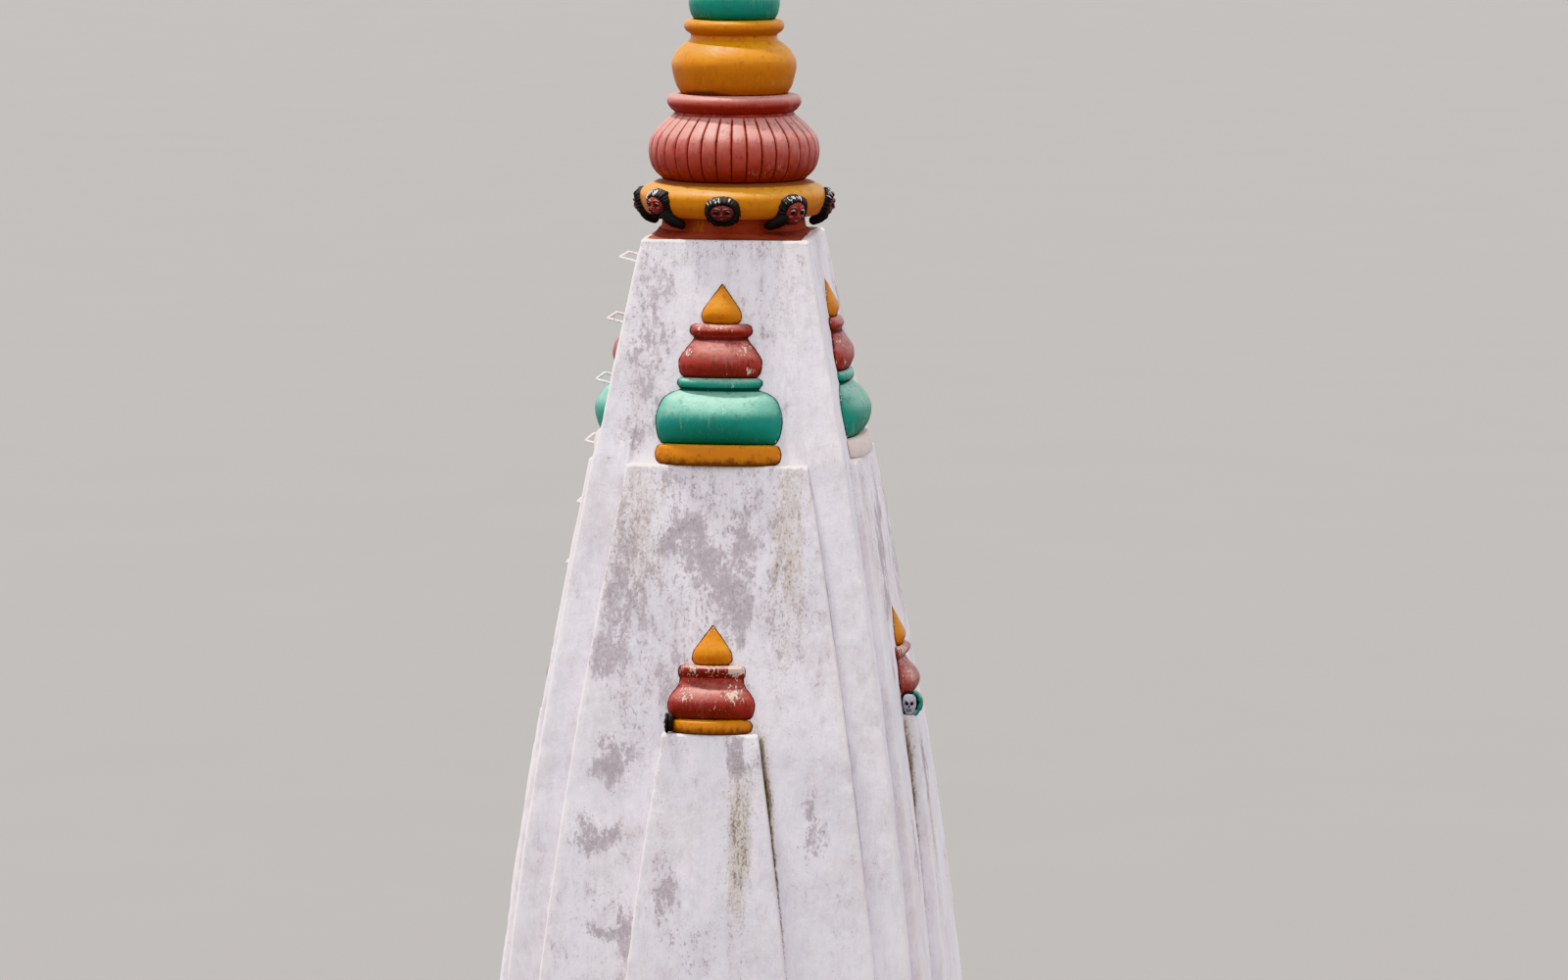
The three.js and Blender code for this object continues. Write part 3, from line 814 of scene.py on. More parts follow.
# Pot outlines, as half width and height above the seat, and for half pots how far they stand out
outlines = {
    "green": [(0.372, 0, 0.052), (0.400, 0.050, 0.101), (0.414, 0.130, 0.143), (0.408, 0.205, 0.149),
              (0.374, 0.285, 0.103), (0.318, 0.328, 0.052), (0.258, 0.350, 0.042), (0.262, 0.364, 0.066),
              (0.277, 0.384, 0.075), (0.276, 0.408, 0.074), (0.252, 0.428, 0.058)],
    "red": [(0.238, 0, 0.050), (0.260, 0.030, 0.074), (0.272, 0.080, 0.100), (0.266, 0.125, 0.105),
            (0.240, 0.165, 0.097), (0.210, 0.205, 0.076), (0.178, 0.245, 0.055), (0.176, 0.262, 0.052),
            (0.196, 0.280, 0.060), (0.203, 0.306, 0.075), (0.196, 0.332, 0.066), (0.172, 0.348, 0.048)],
    "lowRed": [(0.250, 0, 0.040), (0.272, 0.026, 0.060), (0.282, 0.075, 0.097), (0.278, 0.125, 0.110),
               (0.248, 0.172, 0.094), (0.216, 0.215, 0.058), (0.206, 0.258, 0.032), (0.214, 0.276, 0.040),
               (0.218, 0.306, 0.072), (0.210, 0.334, 0.085), (0.190, 0.348, 0.068)],
    "bud": [(0.108, 0, 0.036), (0.126, 0.028, 0.050), (0.128, 0.062, 0.063), (0.115, 0.096, 0.061),
            (0.093, 0.128, 0.050), (0.070, 0.160, 0.038), (0.047, 0.192, 0.027), (0.021, 0.226, 0.015),
            (0, 0.256, 0)],
    "ring": [(0.378, 0, 0.098), (0.402, 0.018, 0.106), (0.412, 0.055, 0.111), (0.409, 0.092, 0.110),
             (0.390, 0.122, 0.103), (0.352, 0.132, 0.092)],
    "lowRing": [(0.238, 0, 0.095), (0.262, 0.012, 0.104), (0.270, 0.038, 0.108), (0.267, 0.062, 0.106),
                (0.250, 0.082, 0.100), (0.220, 0.088, 0.088)],
    "foot": [(0.496, 0), (0.478, 0.06), (0.47, 0.118)],
    "maskRing": [(0.462, 0), (0.566, 0.014), (0.608, 0.068), (0.622, 0.124), (0.616, 0.162), (0.588, 0.19),
                 (0.528, 0.222), (0.47, 0.24)],
    "ribbed": [(0.47, 0), (0.54, 0.074), (0.567, 0.18), (0.548, 0.285), (0.478, 0.368), (0.408, 0.428),
               (0.396, 0.448)],
    "ribbedRim": [(0.418, 0.464), (0.442, 0.5), (0.444, 0.53), (0.43, 0.554), (0.398, 0.568)],
    "yellow": [(0.352, 0), (0.388, 0.066), (0.413, 0.182), (0.398, 0.250), (0.352, 0.310), (0.300, 0.348),
               (0.288, 0.368), (0.288, 0.392), (0.314, 0.410), (0.330, 0.434), (0.330, 0.462), (0.316, 0.482),
               (0.292, 0.49)],
    "topGreen": [(0.268, 0), (0.290, 0.045), (0.301, 0.110), (0.292, 0.165), (0.250, 0.222), (0.206, 0.250),
                 (0.206, 0.266), (0.220, 0.284), (0.222, 0.306), (0.200, 0.33)],
    "topBud": [(0.124, 0), (0.140, 0.032), (0.143, 0.070), (0.129, 0.107), (0.104, 0.143), (0.078, 0.179),
               (0.052, 0.215), (0.024, 0.252), (0, 0.286)],
}


# A place between the middle two of four points, on a smooth curve through them (Catmull-Rom)
def curveAt(a, b, c, d, t):
    return 0.5 * (2 * b + (c - a) * t + (2 * a - 5 * b + 4 * c - d) * t**2 + (3 * b - a - 3 * c + d) * t**3)


# A smooth run through an outline's points
def smoothRun(points, perStretch=7):
    p = np.array(points, float)
    p = np.vstack([2 * p[0] - p[1], p, 2 * p[-1] - p[-2]])
    run = []
    for i in range(1, len(p) - 2):
        run += [curveAt(*p[i - 1:i + 3], t) for t in np.arange(perStretch) / perStretch]
    run = np.array(run + [p[-2]])
    run[:, 0] = np.maximum(run[:, 0], 0.0008)
    run[:, 2:] = np.maximum(run[:, 2:], 0.0005)
    return run


# How deep in a hollow each point of an outline lies, from 0 to 1
def hollowsOf(run, reach=0.045, seatReach=0.016, top=0.022):
    radius, z = run[:, 0], run[:, 1]
    around = np.array([radius[np.abs(z - height) < reach].mean() for height in z])
    deep = np.clip((around - radius) / 0.012, 0, 1)
    deep[z > z[-1] - top] = 0
    return np.maximum(deep, np.exp(-(z - z[0]) / seatReach))


# Soft corner rings so that the turned piece's top and bottom edges aren't knife-sharp
def withSoftEnds(run, soft=0.006):
    narrower, higher = np.zeros(run.shape[1]), np.zeros(run.shape[1])
    narrower[0], higher[1] = soft, soft
    narrower[2:] = soft * run[0][2:] / run[0][0]
    start = [run[0] - narrower, run[0] - narrower * 0.3 + higher * 0.12, run[0] + higher * 0.6]
    body = [p for p in run[1:-1] if p[1] > start[-1][1] + 0.002 and p[1] < run[-1][1] - soft]
    if run[-1][0] < 0.002:
        return np.array(start + body + [run[-1]])
    end = [run[-1] - higher * 0.6, run[-1] - narrower * 0.3 - higher * 0.12, run[-1] - narrower]
    return np.array(start + body + end)


halfPotValues = {
    "segments": 72,
    "backSegments": 20,
    "wobble": 0.0030,
    "wobbleSize": 0.16,
    "skirt": 0.005,  # how far the old paint runs out on the wall beside a pot
    "skirtLift": 0.0025,
    "backDepth": 0.02,  # how far the back is let into the wall
    "dirt": (0.026, 0.013),  # how far the darkening creeps up a piece, and how far out from the wall it reaches: dirt and painted shade
    "ringDirt": (0.085, 0.013),
    "red_potDirt": (0.026, 0.024),
}
seatGap = 0.0003  # between a pot and what it stands on


# A half pot in relief: a turned shape that is flattened and follows the slope of the wall behind it
def halfPot(part, kind, seat, faceAt, turn, limeSpots, limeBase, seed):
    v = halfPotValues
    run = withSoftEnds(smoothRun(outlines[kind]))
    behind = np.linspace(0, math.pi, v["backSegments"])
    before = np.linspace(math.pi, 2 * math.pi, v["segments"])[1:-1]
    angles = np.concatenate([behind, [math.pi + 0.004], before, [2 * math.pi - 0.004]])
    skirt, edge = np.zeros(len(angles)), np.zeros(len(angles))
    skirt[[0, v["backSegments"] - 1]] = 1
    edge[[0, v["backSegments"] - 1, v["backSegments"], -1]] = 1
    c, s = np.cos(angles), np.sin(angles)
    radius, up, standOut = [column[:, None] for column in run.T]
    z = seat + up + 0 * angles
    ragged = np.array([noise.noise(Vector((h * 38, turn * 5.1 + seed, 0))) for h in z[:, 0]])[:, None]
    x = radius * c + skirt * np.sign(c) * v["skirt"] * (1 + 0.7 * ragged)
    front, back = np.maximum(-s, 0), np.maximum(s, 0)
    out = standOut * front - back * v["backDepth"] * np.clip(radius / 0.1, 0, 1)
    out = np.where(edge > 0, v["skirtLift"], out)
    rings = np.stack([x, -faceAt(spire["top"] - z) - out, z], -1)
    move = lumps(rings, v["wobbleSize"], 100 + seed + turn * 9) * v["wobble"] * (1 - edge)
    rings[..., 0] += c * move
    rings[..., 1] -= front * move
    fromWall = front * standOut
    creep, spread = v.get(part + "Dirt", v["dirt"])
    # darker at the seat, against the wall and along the outline on the wall: dirt and painted shade
    hollow = np.maximum(hollowsOf(run, seatReach=creep)[:, None], np.exp(-fromWall / spread))
    hollow = np.maximum(hollow, (0.66 + 1.35 * ragged) * edge)
    lime = np.full(x.shape, limeBase)
    for across, height, size, strength in limeSpots:
        far = ((x - across) / size) ** 2 + ((up - height) / (size * 0.8)) ** 2
        lime = np.maximum(lime, strength * np.exp(-far))
    lime = np.maximum(lime, np.exp(-fromWall / 0.018) * 0.6) * (1 - 0.6 * edge)
    return turned(rings, turn), {"hollow": hollow, "lime": lime}


# Each stack from its ledge up: the part, its outline, its finish and its slot
stacks = {
    "upper": [("ring", "ring", "ochre", "ochre"), ("green_pot", "green", "green", "green"),
              ("red_pot", "red", "redWorn", "red"), ("bud", "bud", "ochre", "ochre")],
    "lower": [("ring", "lowRing", "ochre", "ochre"), ("red_pot", "lowRed", "redWorn", "red"),
              ("bud", "bud", "ochre", "ochre")],
}
# lime runs on the pots: across, height above the seat, size, strength
limeSpots = {
    "upper_red_pot": [(0.17, 0.19, 0.06, 0.75), (-0.20, 0.17, 0.05, 0.70), (0.20, 0.05, 0.04, 0.90),
                      (0.0, 0.35, 0.10, 0.60), (-0.14, 0.31, 0.04, 0.60)],
    "upper_green_pot": [(0.05, 0.22, 0.03, 0.70)],
    "lower_red_pot": [(-0.17, 0.155, 0.075, 0.80), (0.15, 0.165, 0.085, 0.95), (0.05, 0.08, 0.10, 0.40),
                      (0.16, 0.33, 0.08, 1.30), (-0.12, 0.345, 0.10, 0.90), (0.02, 0.35, 0.12, 0.70),
                      (0.19, 0.26, 0.05, 0.70)],
    "lower_bud": [(-0.05, 0.05, 0.05, 0.30)],
}


def addStack(level, faceAt, turn):
    seat = spire["top"] - spire["wideLedge" if level == "upper" else "narrowLedge"] + seatGap
    face = faceNames[turn]
    for i, (part, kind, finish, slot) in enumerate(stacks[level]):
        spots = limeSpots.get(level + "_" + part, [])
        if turn:
            spots = [(-across, height, size, strength * 0.8) for across, height, size, strength in spots]
        # the rings on the two side faces are slopped over with limewash
        base = 1.5 if level == "upper" and part == "ring" and turn in (1, 3) else 0.0
        rings, values = halfPot(part, kind, seat, faceAt, turn, spots, base, i * 3)
        name = level + part.replace("_", "").capitalize() + face.capitalize()
        addSkin(name, f"{level}_{part}_{face}", rings, finish, values)
        seat += outlines[kind][-1][1] + seatGap


for turn in range(4):
    addStack("upper", wallAt, turn)
    addStack("lower", wideFaceAt, turn)
print("face stacks: 28 half pots, rings and buds")

crownValues = {
    "segments": 160,
    "uneven": (0.45, 0.010),  # size of the unevenness, and its share of the width
    "ribbedUneven": (0.50, 0.008),
    "ribs": 34,
    "ribSteps": 14,
    "ribRound": 0.0035,  # each rib is a little rounded across
    "grooveDepth": 0.014,
    "grooveShare": 0.11,  # of a rib's pitch
    "neckFrom": 0.15,
    "neckDirtAndShade": 0.50,  # share of the full dirt and painted shade in the neck of the yellow pot
    # in the ribbed pot's neck more is kept, as painted shade under its rim
    "ribbedNeckDirtAndShade": 0.68,
    "stainAt": math.radians(243),  # where the yellow pot is stained
    "stainWide": 0.62,
    "stainTall": 0.031,
    "runAt": math.radians(247),  # where the ring's ochre has run down the foot
    "runWide": 0.15,
    "bedHalf": 0.536,
    "bedCorner": 0.105,
    "bedWhite": 0.508,  # beyond this the side margins are limewashed over
    "bedThick": 0.006,
    "bedRise": 0.034,  # how far the mortar is drawn up round the foot
    "footHalf": 0.497,
}


def potRings(run, radius, seat, angles, uneven, seed):
    z = seat + run[:, 1][:, None] + 0 * angles
    rings = np.stack([radius * np.cos(angles), radius * np.sin(angles), z], -1)
    size, amount = uneven
    rings[..., :2] *= 1 + amount * lumps(rings, size, seed)[..., None]
    return rings


# A full pot about the tower's axis
def turnedPot(kind, seat, seed):
    v = crownValues
    run = withSoftEnds(smoothRun(outlines[kind]))
    up = run[:, 1][:, None]
    angles = np.linspace(0, 2 * math.pi, v["segments"], endpoint=False)
    # the mask ring keeps its darkening at the top, a painted shade under the ribbed pot
    hollow = hollowsOf(run, top=0 if kind == "maskRing" else 0.022)[:, None] + 0 * angles
    lime = np.zeros(hollow.shape)
    if kind == "yellow":
        hollow[run[:, 1] > v["neckFrom"]] *= v["neckDirtAndShade"]
        stain = bell(angles - v["stainAt"], v["stainWide"]) * np.exp(-up / v["stainTall"])
        hollow = np.maximum(hollow, 1.8 * stain)
    if kind == "foot":
        lime = 1.05 * bell(angles - v["runAt"], v["runWide"]) * np.clip(up / 0.05, 0, 1)
    rings = potRings(run, run[:, 0][:, None], seat, angles, v["uneven"], 200 + seed)
    return rings, {"hollow": hollow, "lime": lime}


# The fluted pot: broad flat ribs with narrow grooves between them, under a plain rolled rim
def ribbedPot(seat):
    v = crownValues
    run = withSoftEnds(np.vstack([smoothRun(outlines["ribbed"], 9), smoothRun(outlines["ribbedRim"], 9)]))
    up = run[:, 1][:, None]
    neck = outlines["ribbed"][-1][1]
    count = v["ribs"] * v["ribSteps"]
    angles = np.linspace(0, 2 * math.pi, count, endpoint=False)
    pitch = (np.arange(count) % v["ribSteps"]) / v["ribSteps"]
    fromGroove = np.minimum(pitch, 1 - pitch)
    groove = np.clip(1 - fromGroove / v["grooveShare"], 0, 1) ** 1.3
    belly = v["ribRound"] * (fromGroove / 0.5 - 1) ** 2
    along = np.clip(up / 0.03, 0.25, 1) * np.clip((neck - 0.004 - up) / 0.05, 0, 1)
    radius = run[:, 0][:, None] - along * (belly + v["grooveDepth"] * groove)
    hollow = hollowsOf(run)[:, None]
    hollow[run[:, 1] > v["neckFrom"]] *= v["ribbedNeckDirtAndShade"]
    # darker in the grooves between the ribs: dirt and painted shade
    hollow = np.clip(np.maximum(hollow, along * groove * 1.4), 0, 1)
    rings = potRings(run, radius, seat, angles, v["ribbedUneven"], 220)
    return rings, {"hollow": hollow, "lime": 0 * hollow}


# The red mortar bed of the flat top, drawn up a little against the foot of the pots
def addTopBed():
    v = crownValues
    base = spire["top"] + seatGap
    angles = np.linspace(0, 2 * math.pi, 128, endpoint=False)
    c, s = np.cos(angles), np.sin(angles)
    # a square with rounded corners
    inner = v["bedHalf"] - v["bedCorner"]
    reach = v["bedHalf"] / np.maximum(np.abs(c), np.abs(s))
    square = np.stack([reach * c, reach * s], -1)
    centre = np.clip(square, -inner, inner)
    far = np.maximum(np.linalg.norm(square - centre, axis=-1, keepdims=True), 1e-9)
    edge = centre + (square - centre) * np.minimum(1, v["bedCorner"] / far)
    foot = v["footHalf"] * np.stack([c, s], -1)
    levels = [(edge, 0.0), (edge * 0.999, v["bedThick"] * 0.6), (edge * 0.992, v["bedThick"])]
    for t in (0.04, 0.09, 0.15, 0.35, 0.6, 0.85, 1.0):
        levels.append((edge * 0.992 * (1 - t) + foot * t, v["bedThick"] + v["bedRise"] * t**1.6))
    levels.append((foot * 0.9, v["bedThick"] + v["bedRise"]))
    rings = np.array([[(x, y, base + z) for x, y in ring] for ring, z in levels])
    x, y, z = rings[..., 0], rings[..., 1], rings[..., 2]
    rings[..., 2] = np.maximum(z + lumps(rings, 0.12, 240) * 0.0022 * (z > base + v["bedThick"] * 0.5), base)
    rim = np.clip((np.maximum(np.abs(x), np.abs(y)) - 0.50) / 0.04, 0, 0.85)
    values = {
        "hollow": np.maximum(rim, np.clip((np.abs(x) - 0.24) / 0.22, 0, 0.62)),
        "lime": np.clip((np.abs(x) - v["bedWhite"]) / 0.006, 0, 2.6),
    }
    addSkin("mortarBed", "top_bed", rings, "oxideRed", values)


# From the flat top up: the piece, its node, its outline, its finish and its slot
crownPots = [
    ("crownFoot", "crown_foot", "foot", "footRed", "oxide_red"),
    ("crownMaskRing", "crown_mask_ring", "maskRing", "ochreRing", "ochre"),
    ("crownRibbedPot", "crown_ribbed_pot", "ribbedRim", "red", "red"),
    ("crownYellowPot", "crown_yellow_pot", "yellow", "ochre", "ochre"),
    ("crownGreenPot", "crown_green_pot", "topGreen", "green", "green"),
    ("crownBud", "crown_bud", "topBud", "ochre", "ochre"),
]
addTopBed()
seats = {}
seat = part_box("crown_foot")[0].z
for i, (name, node, kind, finish, slot) in enumerate(crownPots):
    seats[name] = seat
    ribbed = name == "crownRibbedPot"
    rings, values = ribbedPot(seat) if ribbed else turnedPot(kind, seat, i)
    addSkin(name, node, rings, finish, values, 75 if ribbed else 60)
    seat += outlines[kind][-1][1] + seatGap
print("crown: bed, foot, ring and four pots")


# Little closed shapes that a mask is built up from, gathered in one bag
def newBag():
    return {"points": [], "faces": [], "finishes": [], "lime": []}


def addPart(bag, points, faces, finish, lime=0.0):
    start = len(bag["points"])
    bag["lime"].extend([lime] * len(points) if np.ndim(lime) == 0 else lime)
    bag["points"].extend([tuple(p) for p in points])
    bag["faces"].extend([tuple(start + i for i in f) for f in faces])
    bag["finishes"].extend([finish] * len(faces))


def ball(bag, centre, size, finish, rings=7, segments=12, lime=0.0):
    points = []
    for i in range(1, rings):
        a = -math.pi / 2 + math.pi * i / rings
        for j in range(segments):
            b = 2 * math.pi * j / segments
            spot = (math.cos(a) * math.cos(b), math.cos(a) * math.sin(b), math.sin(a))
            points.append([c + r * s for c, r, s in zip(centre, size, spot)])
    addPart(bag, points, skinFaces(rings - 1, segments), finish, lime)


# A tapering roll along a line of points
def roll(bag, line, widths, finish, sides=8):
    line = [Vector(p) for p in line]
    points = []
    for i, p in enumerate(line):
        ahead = (line[min(i + 1, len(line) - 1)] - line[max(i - 1, 0)]).normalized()
        across = ahead.cross(Vector((0, 0, 1)))
        if across.length < 0.1:
            across = ahead.cross(Vector((1, 0, 0)))
        across.normalize()
        lift = across.cross(ahead)
        for j in range(sides):
            a = 2 * math.pi * j / sides
            points.append(p + (across * math.cos(a) + lift * math.sin(a)) * widths[i])
    addPart(bag, points, skinFaces(len(line), sides), finish)


# Layers of points, from the lowest up, as one closed shape
def pile(bag, layers, finish, lime=0.0):
    addPart(bag, [p for layer in layers for p in layer], skinFaces(len(layers), len(layers[0])), finish, lime)


# A point on an oval that is squarer the higher its power
def squarish(angle, power):
    c, s = math.cos(angle), math.sin(angle)
    r = (abs(c) ** power + abs(s) ** power) ** (-1 / power)
    return r * c, r * s


maskValues = {
    "half": 0.119,  # half width of the hood of hair
    "tall": 0.88,  # height over width
    "out": 0.050,  # how far the hood stands out
    "square": 2.5,  # 2 is an ellipse, more is squarer
    "furrows": 27,
    "perFurrow": 5,
    "furrowDepth": 0.0050,
    "rows": 13,
    "ragged": 0.075,  # how uneven the hair's edge is
    "drips": 7,
}


# The height of the hood over its base at a share of the way out to its edge
def hoodRise(far):
    dome = max(0.0, 1 - far**5)
    ridge = bell(far - 0.76, 0.20)
    return maskValues["out"] * (0.62 * dome + 0.38 * ridge) * min(1.0, (1.0 - far) / 0.10 + 0.001) ** 0.5


# A hood of furrowed hair in the mask's own frame: x across, y up, z out of what carries it
def addHood(bag, paints, seed, hair):
    v = maskValues
    rng = random.Random(seed)
    a, b = v["half"], v["half"] * v["tall"]
    spokes, last = v["furrows"] * v["perFurrow"], v["rows"] - 1

    def edge(w):
        x, y = squarish(w, v["square"])
        grow = 1 + v["ragged"] * noise.noise(Vector((math.cos(w) * 4, math.sin(w) * 4, seed * 1.7)))
        return grow * x, grow * y

    turns = [2 * math.pi * j / spokes for j in range(spokes)]
    ring = [edge(w) for w in turns]
    layers, lime = [], []
    for narrow, drop, deep in ((hair["narrow"], hair["drop"], hair["deep"]), (0.97, 0.0, hair["deep"] * 0.4)):
        layers.append([(a * narrow * x, b * narrow * y + drop, -deep) for x, y in ring])
        lime += [0.0] * spokes
    for i in range(last, -1, -1):
        far = (i + 0.15) / (last + 0.15)
        combed = min(1, max(0, (far - 0.45) / 0.15))
        layer = []
        for w, (x, y) in zip(turns, ring):
            furrow = math.cos(w * v["furrows"] + 2.5 * math.sin(3 * w + seed)) * combed
            furrow += 0.6 * noise.noise(Vector((x * 9, y * 9, seed + far * 3)))
            layer.append((a * far * x, b * far * y, hoodRise(far) + v["furrowDepth"] * furrow))
            # old limewash clings to the top of the hair
            off = (math.degrees(w) - 90 - hair["lean"] + 180) % 360 - 180
            lime.append(hair["lime"] * bell(off, hair["spread"]) * min(1, max(0, (far - 0.62) / 0.25)))
        layers.append(layer)
    pile(bag, layers, paints["mane"], lime)
    for _ in range(v["drips"]):
        x, y = edge(math.radians(90 + rng.uniform(-1, 1) * hair["spread"] + hair["lean"]))
        line = []
        for far in np.linspace(0.985, rng.uniform(0.70, 0.90), 5):
            line.append((a * far * x + rng.uniform(-0.003, 0.003), b * far * y, hoodRise(far) + 0.003))
        size = rng.uniform(0.0016, 0.0032)
        roll(bag, line, [size * w for w in (0.7, 1, 1.1, 0.9, 0.5)], paints["drips"], 6)


# Modelling on a face: spots are shares of its half width and height, then metres out of its front
def faceTools(bag, paints, face, front):
    wide, tall, low = face["wide"], face["tall"], face["low"]

    def at(x, y, z):
        return (wide * x, low + tall * y, front + z)

    def pad(spot, size, finish, **more):
        ball(bag, at(*spot), (size[0] * wide, size[1] * tall, size[2]), paints[finish], **more)

    def ridge(spots, widths, finish, sides=8):
        roll(bag, [at(*spot) for spot in spots], [wide * w for w in widths], paints[finish], sides)

    return at, pad, ridge


# The lips and teeth of a ring mask: height, thickness, bow and finish
ringMouth = [(-0.38, 0.060, 0.10, "lip"), (-0.49, 0.050, 0.12, "teeth"), (-0.60, 0.060, 0.16, "lip")]


# One lion mask: a raised oval with heavy brows, hollow eyes, a broad nose and parted lips
def ringMask(paints, seed, hair, face):
    bag = newBag()
    addHood(bag, paints, seed, hair)
    out = maskValues["out"]
    fw, ft, low = face["wide"], face["tall"], face["low"]
    ball(bag, (0, low, out * 0.62), (fw, ft, out * 0.66), paints["face"], 14, 32)
    ball(bag, (0, low - 0.45 * ft, out * 0.80), (0.66 * fw, 0.50 * ft, out * 0.54), paints["face"], 10, 24)
    at, pad, ridge = faceTools(bag, paints, face, out * 1.25)
    # under each brow a dark hollow with a pale crescent over it, more open on the side it looks to
    reach, thick = face["crescent"]
    for side in (-1, 1):
        x, y, z = at(side * 0.43, 0.16, -0.004)
        hoop = [(x + 0.26 * fw * math.cos(u), y + 0.22 * ft * math.sin(u), z - 0.002 * abs(math.cos(u)))
                for u in np.linspace(1.2 - reach / 2, 1.2 + reach / 2, 13)]
        swell = [thick * (0.30 + 0.80 * math.sin(math.pi * k / 12)) for k in range(13)]
        pad((side * 0.43, 0.16, -0.004), (0.25, 0.20, 0.006), "socket", segments=16)
        roll(bag, hoop, swell, paints["ring"], 6)
        ridge([(side * (0.10 + 0.64 * t), 0.44 + 0.16 * math.sin(t * math.pi), -0.001 - 0.013 * t)
               for t in (0, 0.25, 0.5, 0.75, 1)], (0.08, 0.12, 0.11, 0.08, 0.03), "face")
        pad((side * 0.50, -0.22, -0.009), (0.27, 0.20, 0.016), "face", lime=face["cheeks"])
        pad((side * 0.15, -0.14, 0.005), (0.12, 0.08, 0.007), "face")
        pad((side * 0.10, -0.20, 0.009), (0.04, 0.03, 0.004), "socket")
    ridge([(0, 0.38, -0.004), (0, 0.12, 0.002), (0, -0.13, 0.009)], (0.07, 0.10, 0.14), "face")
    for lift, width, bow, finish in ringMouth:
        across = np.linspace(-1, 1, 11)
        lips = [at(0.60 * t, lift + bow * t * t, 0.001 - 0.017 * t * t) for t in across]
        roll(bag, lips, [ft * width * (1 - 0.65 * t * t) for t in across], paints[finish], 6)
    return bag


# The modelling of a skull-like mask's right half: finish, widths and spots
skullHalf = [
    ("socket", (0.10, 0.23, 0.14), ((0.17, 0.02, 0), (0.34, 0.12, 0), (0.58, 0.22, 0))),
    ("face", (0.08, 0.11, 0.05), ((0.08, 0.26, 0.004), (0.40, 0.46, 0.004), (0.76, 0.50, 0.004))),
    ("face", (0.08, 0.12, 0.06), ((0.70, -0.04, -0.002), (0.56, -0.26, -0.002), (0.40, -0.40, -0.002))),
]


# One skull-like mask: a flat-topped face that narrows to a long jaw, with slanting eye hollows
def skullMask(paints, seed, hair, face):
    bag = newBag()
    addHood(bag, paints, seed, hair)
    out = maskValues["out"]
    fw, ft, low = face["wide"], face["tall"], face["low"]
    oval = [squarish(2 * math.pi * j / 40, 3.6) for j in range(40)]
    layers = []
    for grow, depth in ((1.0, 0.2), (1.0, 1.05), (0.93, 1.22), (0.72, 1.36), (0.30, 1.44)):
        layers.append([(fw * grow * x * (1 - 0.34 * max(0.0, -y) ** 1.3), low + ft * grow * y, out * depth)
                       for x, y in oval])
    pile(bag, layers, paints["face"])
    pad, ridge = faceTools(bag, paints, face, out * 1.38)[1:]
    for side in (-1, 1):
        for finish, widths, spots in skullHalf:
            ridge([(side * x, y, z) for x, y, z in spots], widths, finish)
        pad((side * 0.09, -0.17, 0.004), (0.08, 0.11, 0.006), "socket")
    ridge([(0, 0.34, 0.002), (0, 0.10, 0.008), (0, -0.08, 0.008)], (0.06, 0.09, 0.05), "face")
    for lift, reach in ((0.40, 0.50), (0.60, 0.36)):
        across = np.linspace(-reach, reach, 9)
        ridge([(x, 0.12 * x * x - lift, 0.003 - 0.012 * abs(x)) for x in across], [0.045] * 9, "socket", 6)
    for x in np.linspace(-0.30, 0.30, 4):
        ridge([(x, -y, 0.002) for y in (0.40, 0.50, 0.60)], [0.030] * 3, "socket", 6)
    # a scarf down the outer edge, green on the two side faces
    scarf = [(0.112 * math.cos(w) + 0.008, 0.108 * math.sin(w), out * 0.75)
             for w in np.radians(np.linspace(70, -62, 12))]
    roll(bag, scarf, [0.022 + 0.006 * math.sin(k * 1.9) for k in range(12)], paints["scarf"], 10)
    return bag


def placeBag(name, bag, origin, across, up, out, size=1.0):
    order = sorted(set(bag["finishes"]))
    points = [Vector(origin) + (Vector(across) * p[0] + Vector(up) * p[1] + Vector(out) * p[2]) * size
              for p in bag["points"]]
    values = {"hollow": np.zeros(len(points)), "lime": bag["lime"]}
    addPiece(name, np.array(points), bag["faces"], order, (), values,
             [order.index(f) for f in bag["finishes"]], sharp=70)


ringMasks = {
    "radius": 0.600,
    "lift": 0.078,  # above the ring's seat
    "nod": 19,  # degrees that each face looks down
    "turns": [0, 1.5, 2.0, 0, -1.5, 1.0, -1.0, -1.5],  # degrees off the even spacing
    "lifts": [-0.012, -0.010, 0.004, 0, -0.008, 0.006, 0, 0.018],
    "lean": [16, 22, 10, 0, 16, -10, 12, 14],  # degrees that the limewash strays to the left
    "lime": [0.42, 0.62, 0.75, 0.4, 0.5, 0.6, 0.55, 0.62],
    "cheeks": [0.3, 0.3, 0.3, 0.42] * 2,
    "brown": (0, 2, 3, 6),  # masks whose faces are darker
    "wide": 0.084,  # half width of a face
    "tall": [0.058, 0.084, 0.070, 0.072, 0.060, 0.080, 0.068, 0.064],
    "low": [0.006, -0.008, 0, 0, 0.004, -0.006, 0, 0.010],
    "ringed": (1, 5),  # masks whose eyes are ringed most of the way round
    "crescents": [(1.9, 0.0026), (2.9, 0.0044)],  # reach round the eye and thickness, plain and ringed
    "hair": {"narrow": 0.80, "drop": -0.010, "deep": 0.060, "spread": 46},
    "paints": {"mane": "maneBlack", "face": "faceRed", "ring": "limeWhite", "socket": "maneBlack",
               "lip": "faceBrown", "teeth": "lipPink", "drips": "limeWhite"},
    "arm": [(0.596, 0.070), (0.600, 0.036), (0.588, 0.008), (0.566, -0.012), (0.542, -0.026), (0.518, -0.038),
            (0.504, -0.044)],
    "armWidths": [0.032, 0.042, 0.044, 0.040, 0.034, 0.027, 0.010],
    "armSweep": [0.052, 0.066, 0.084, 0.104, 0.124, 0.142, 0.152],  # how far it swings towards the front
    "armLumps": 0.008,
}


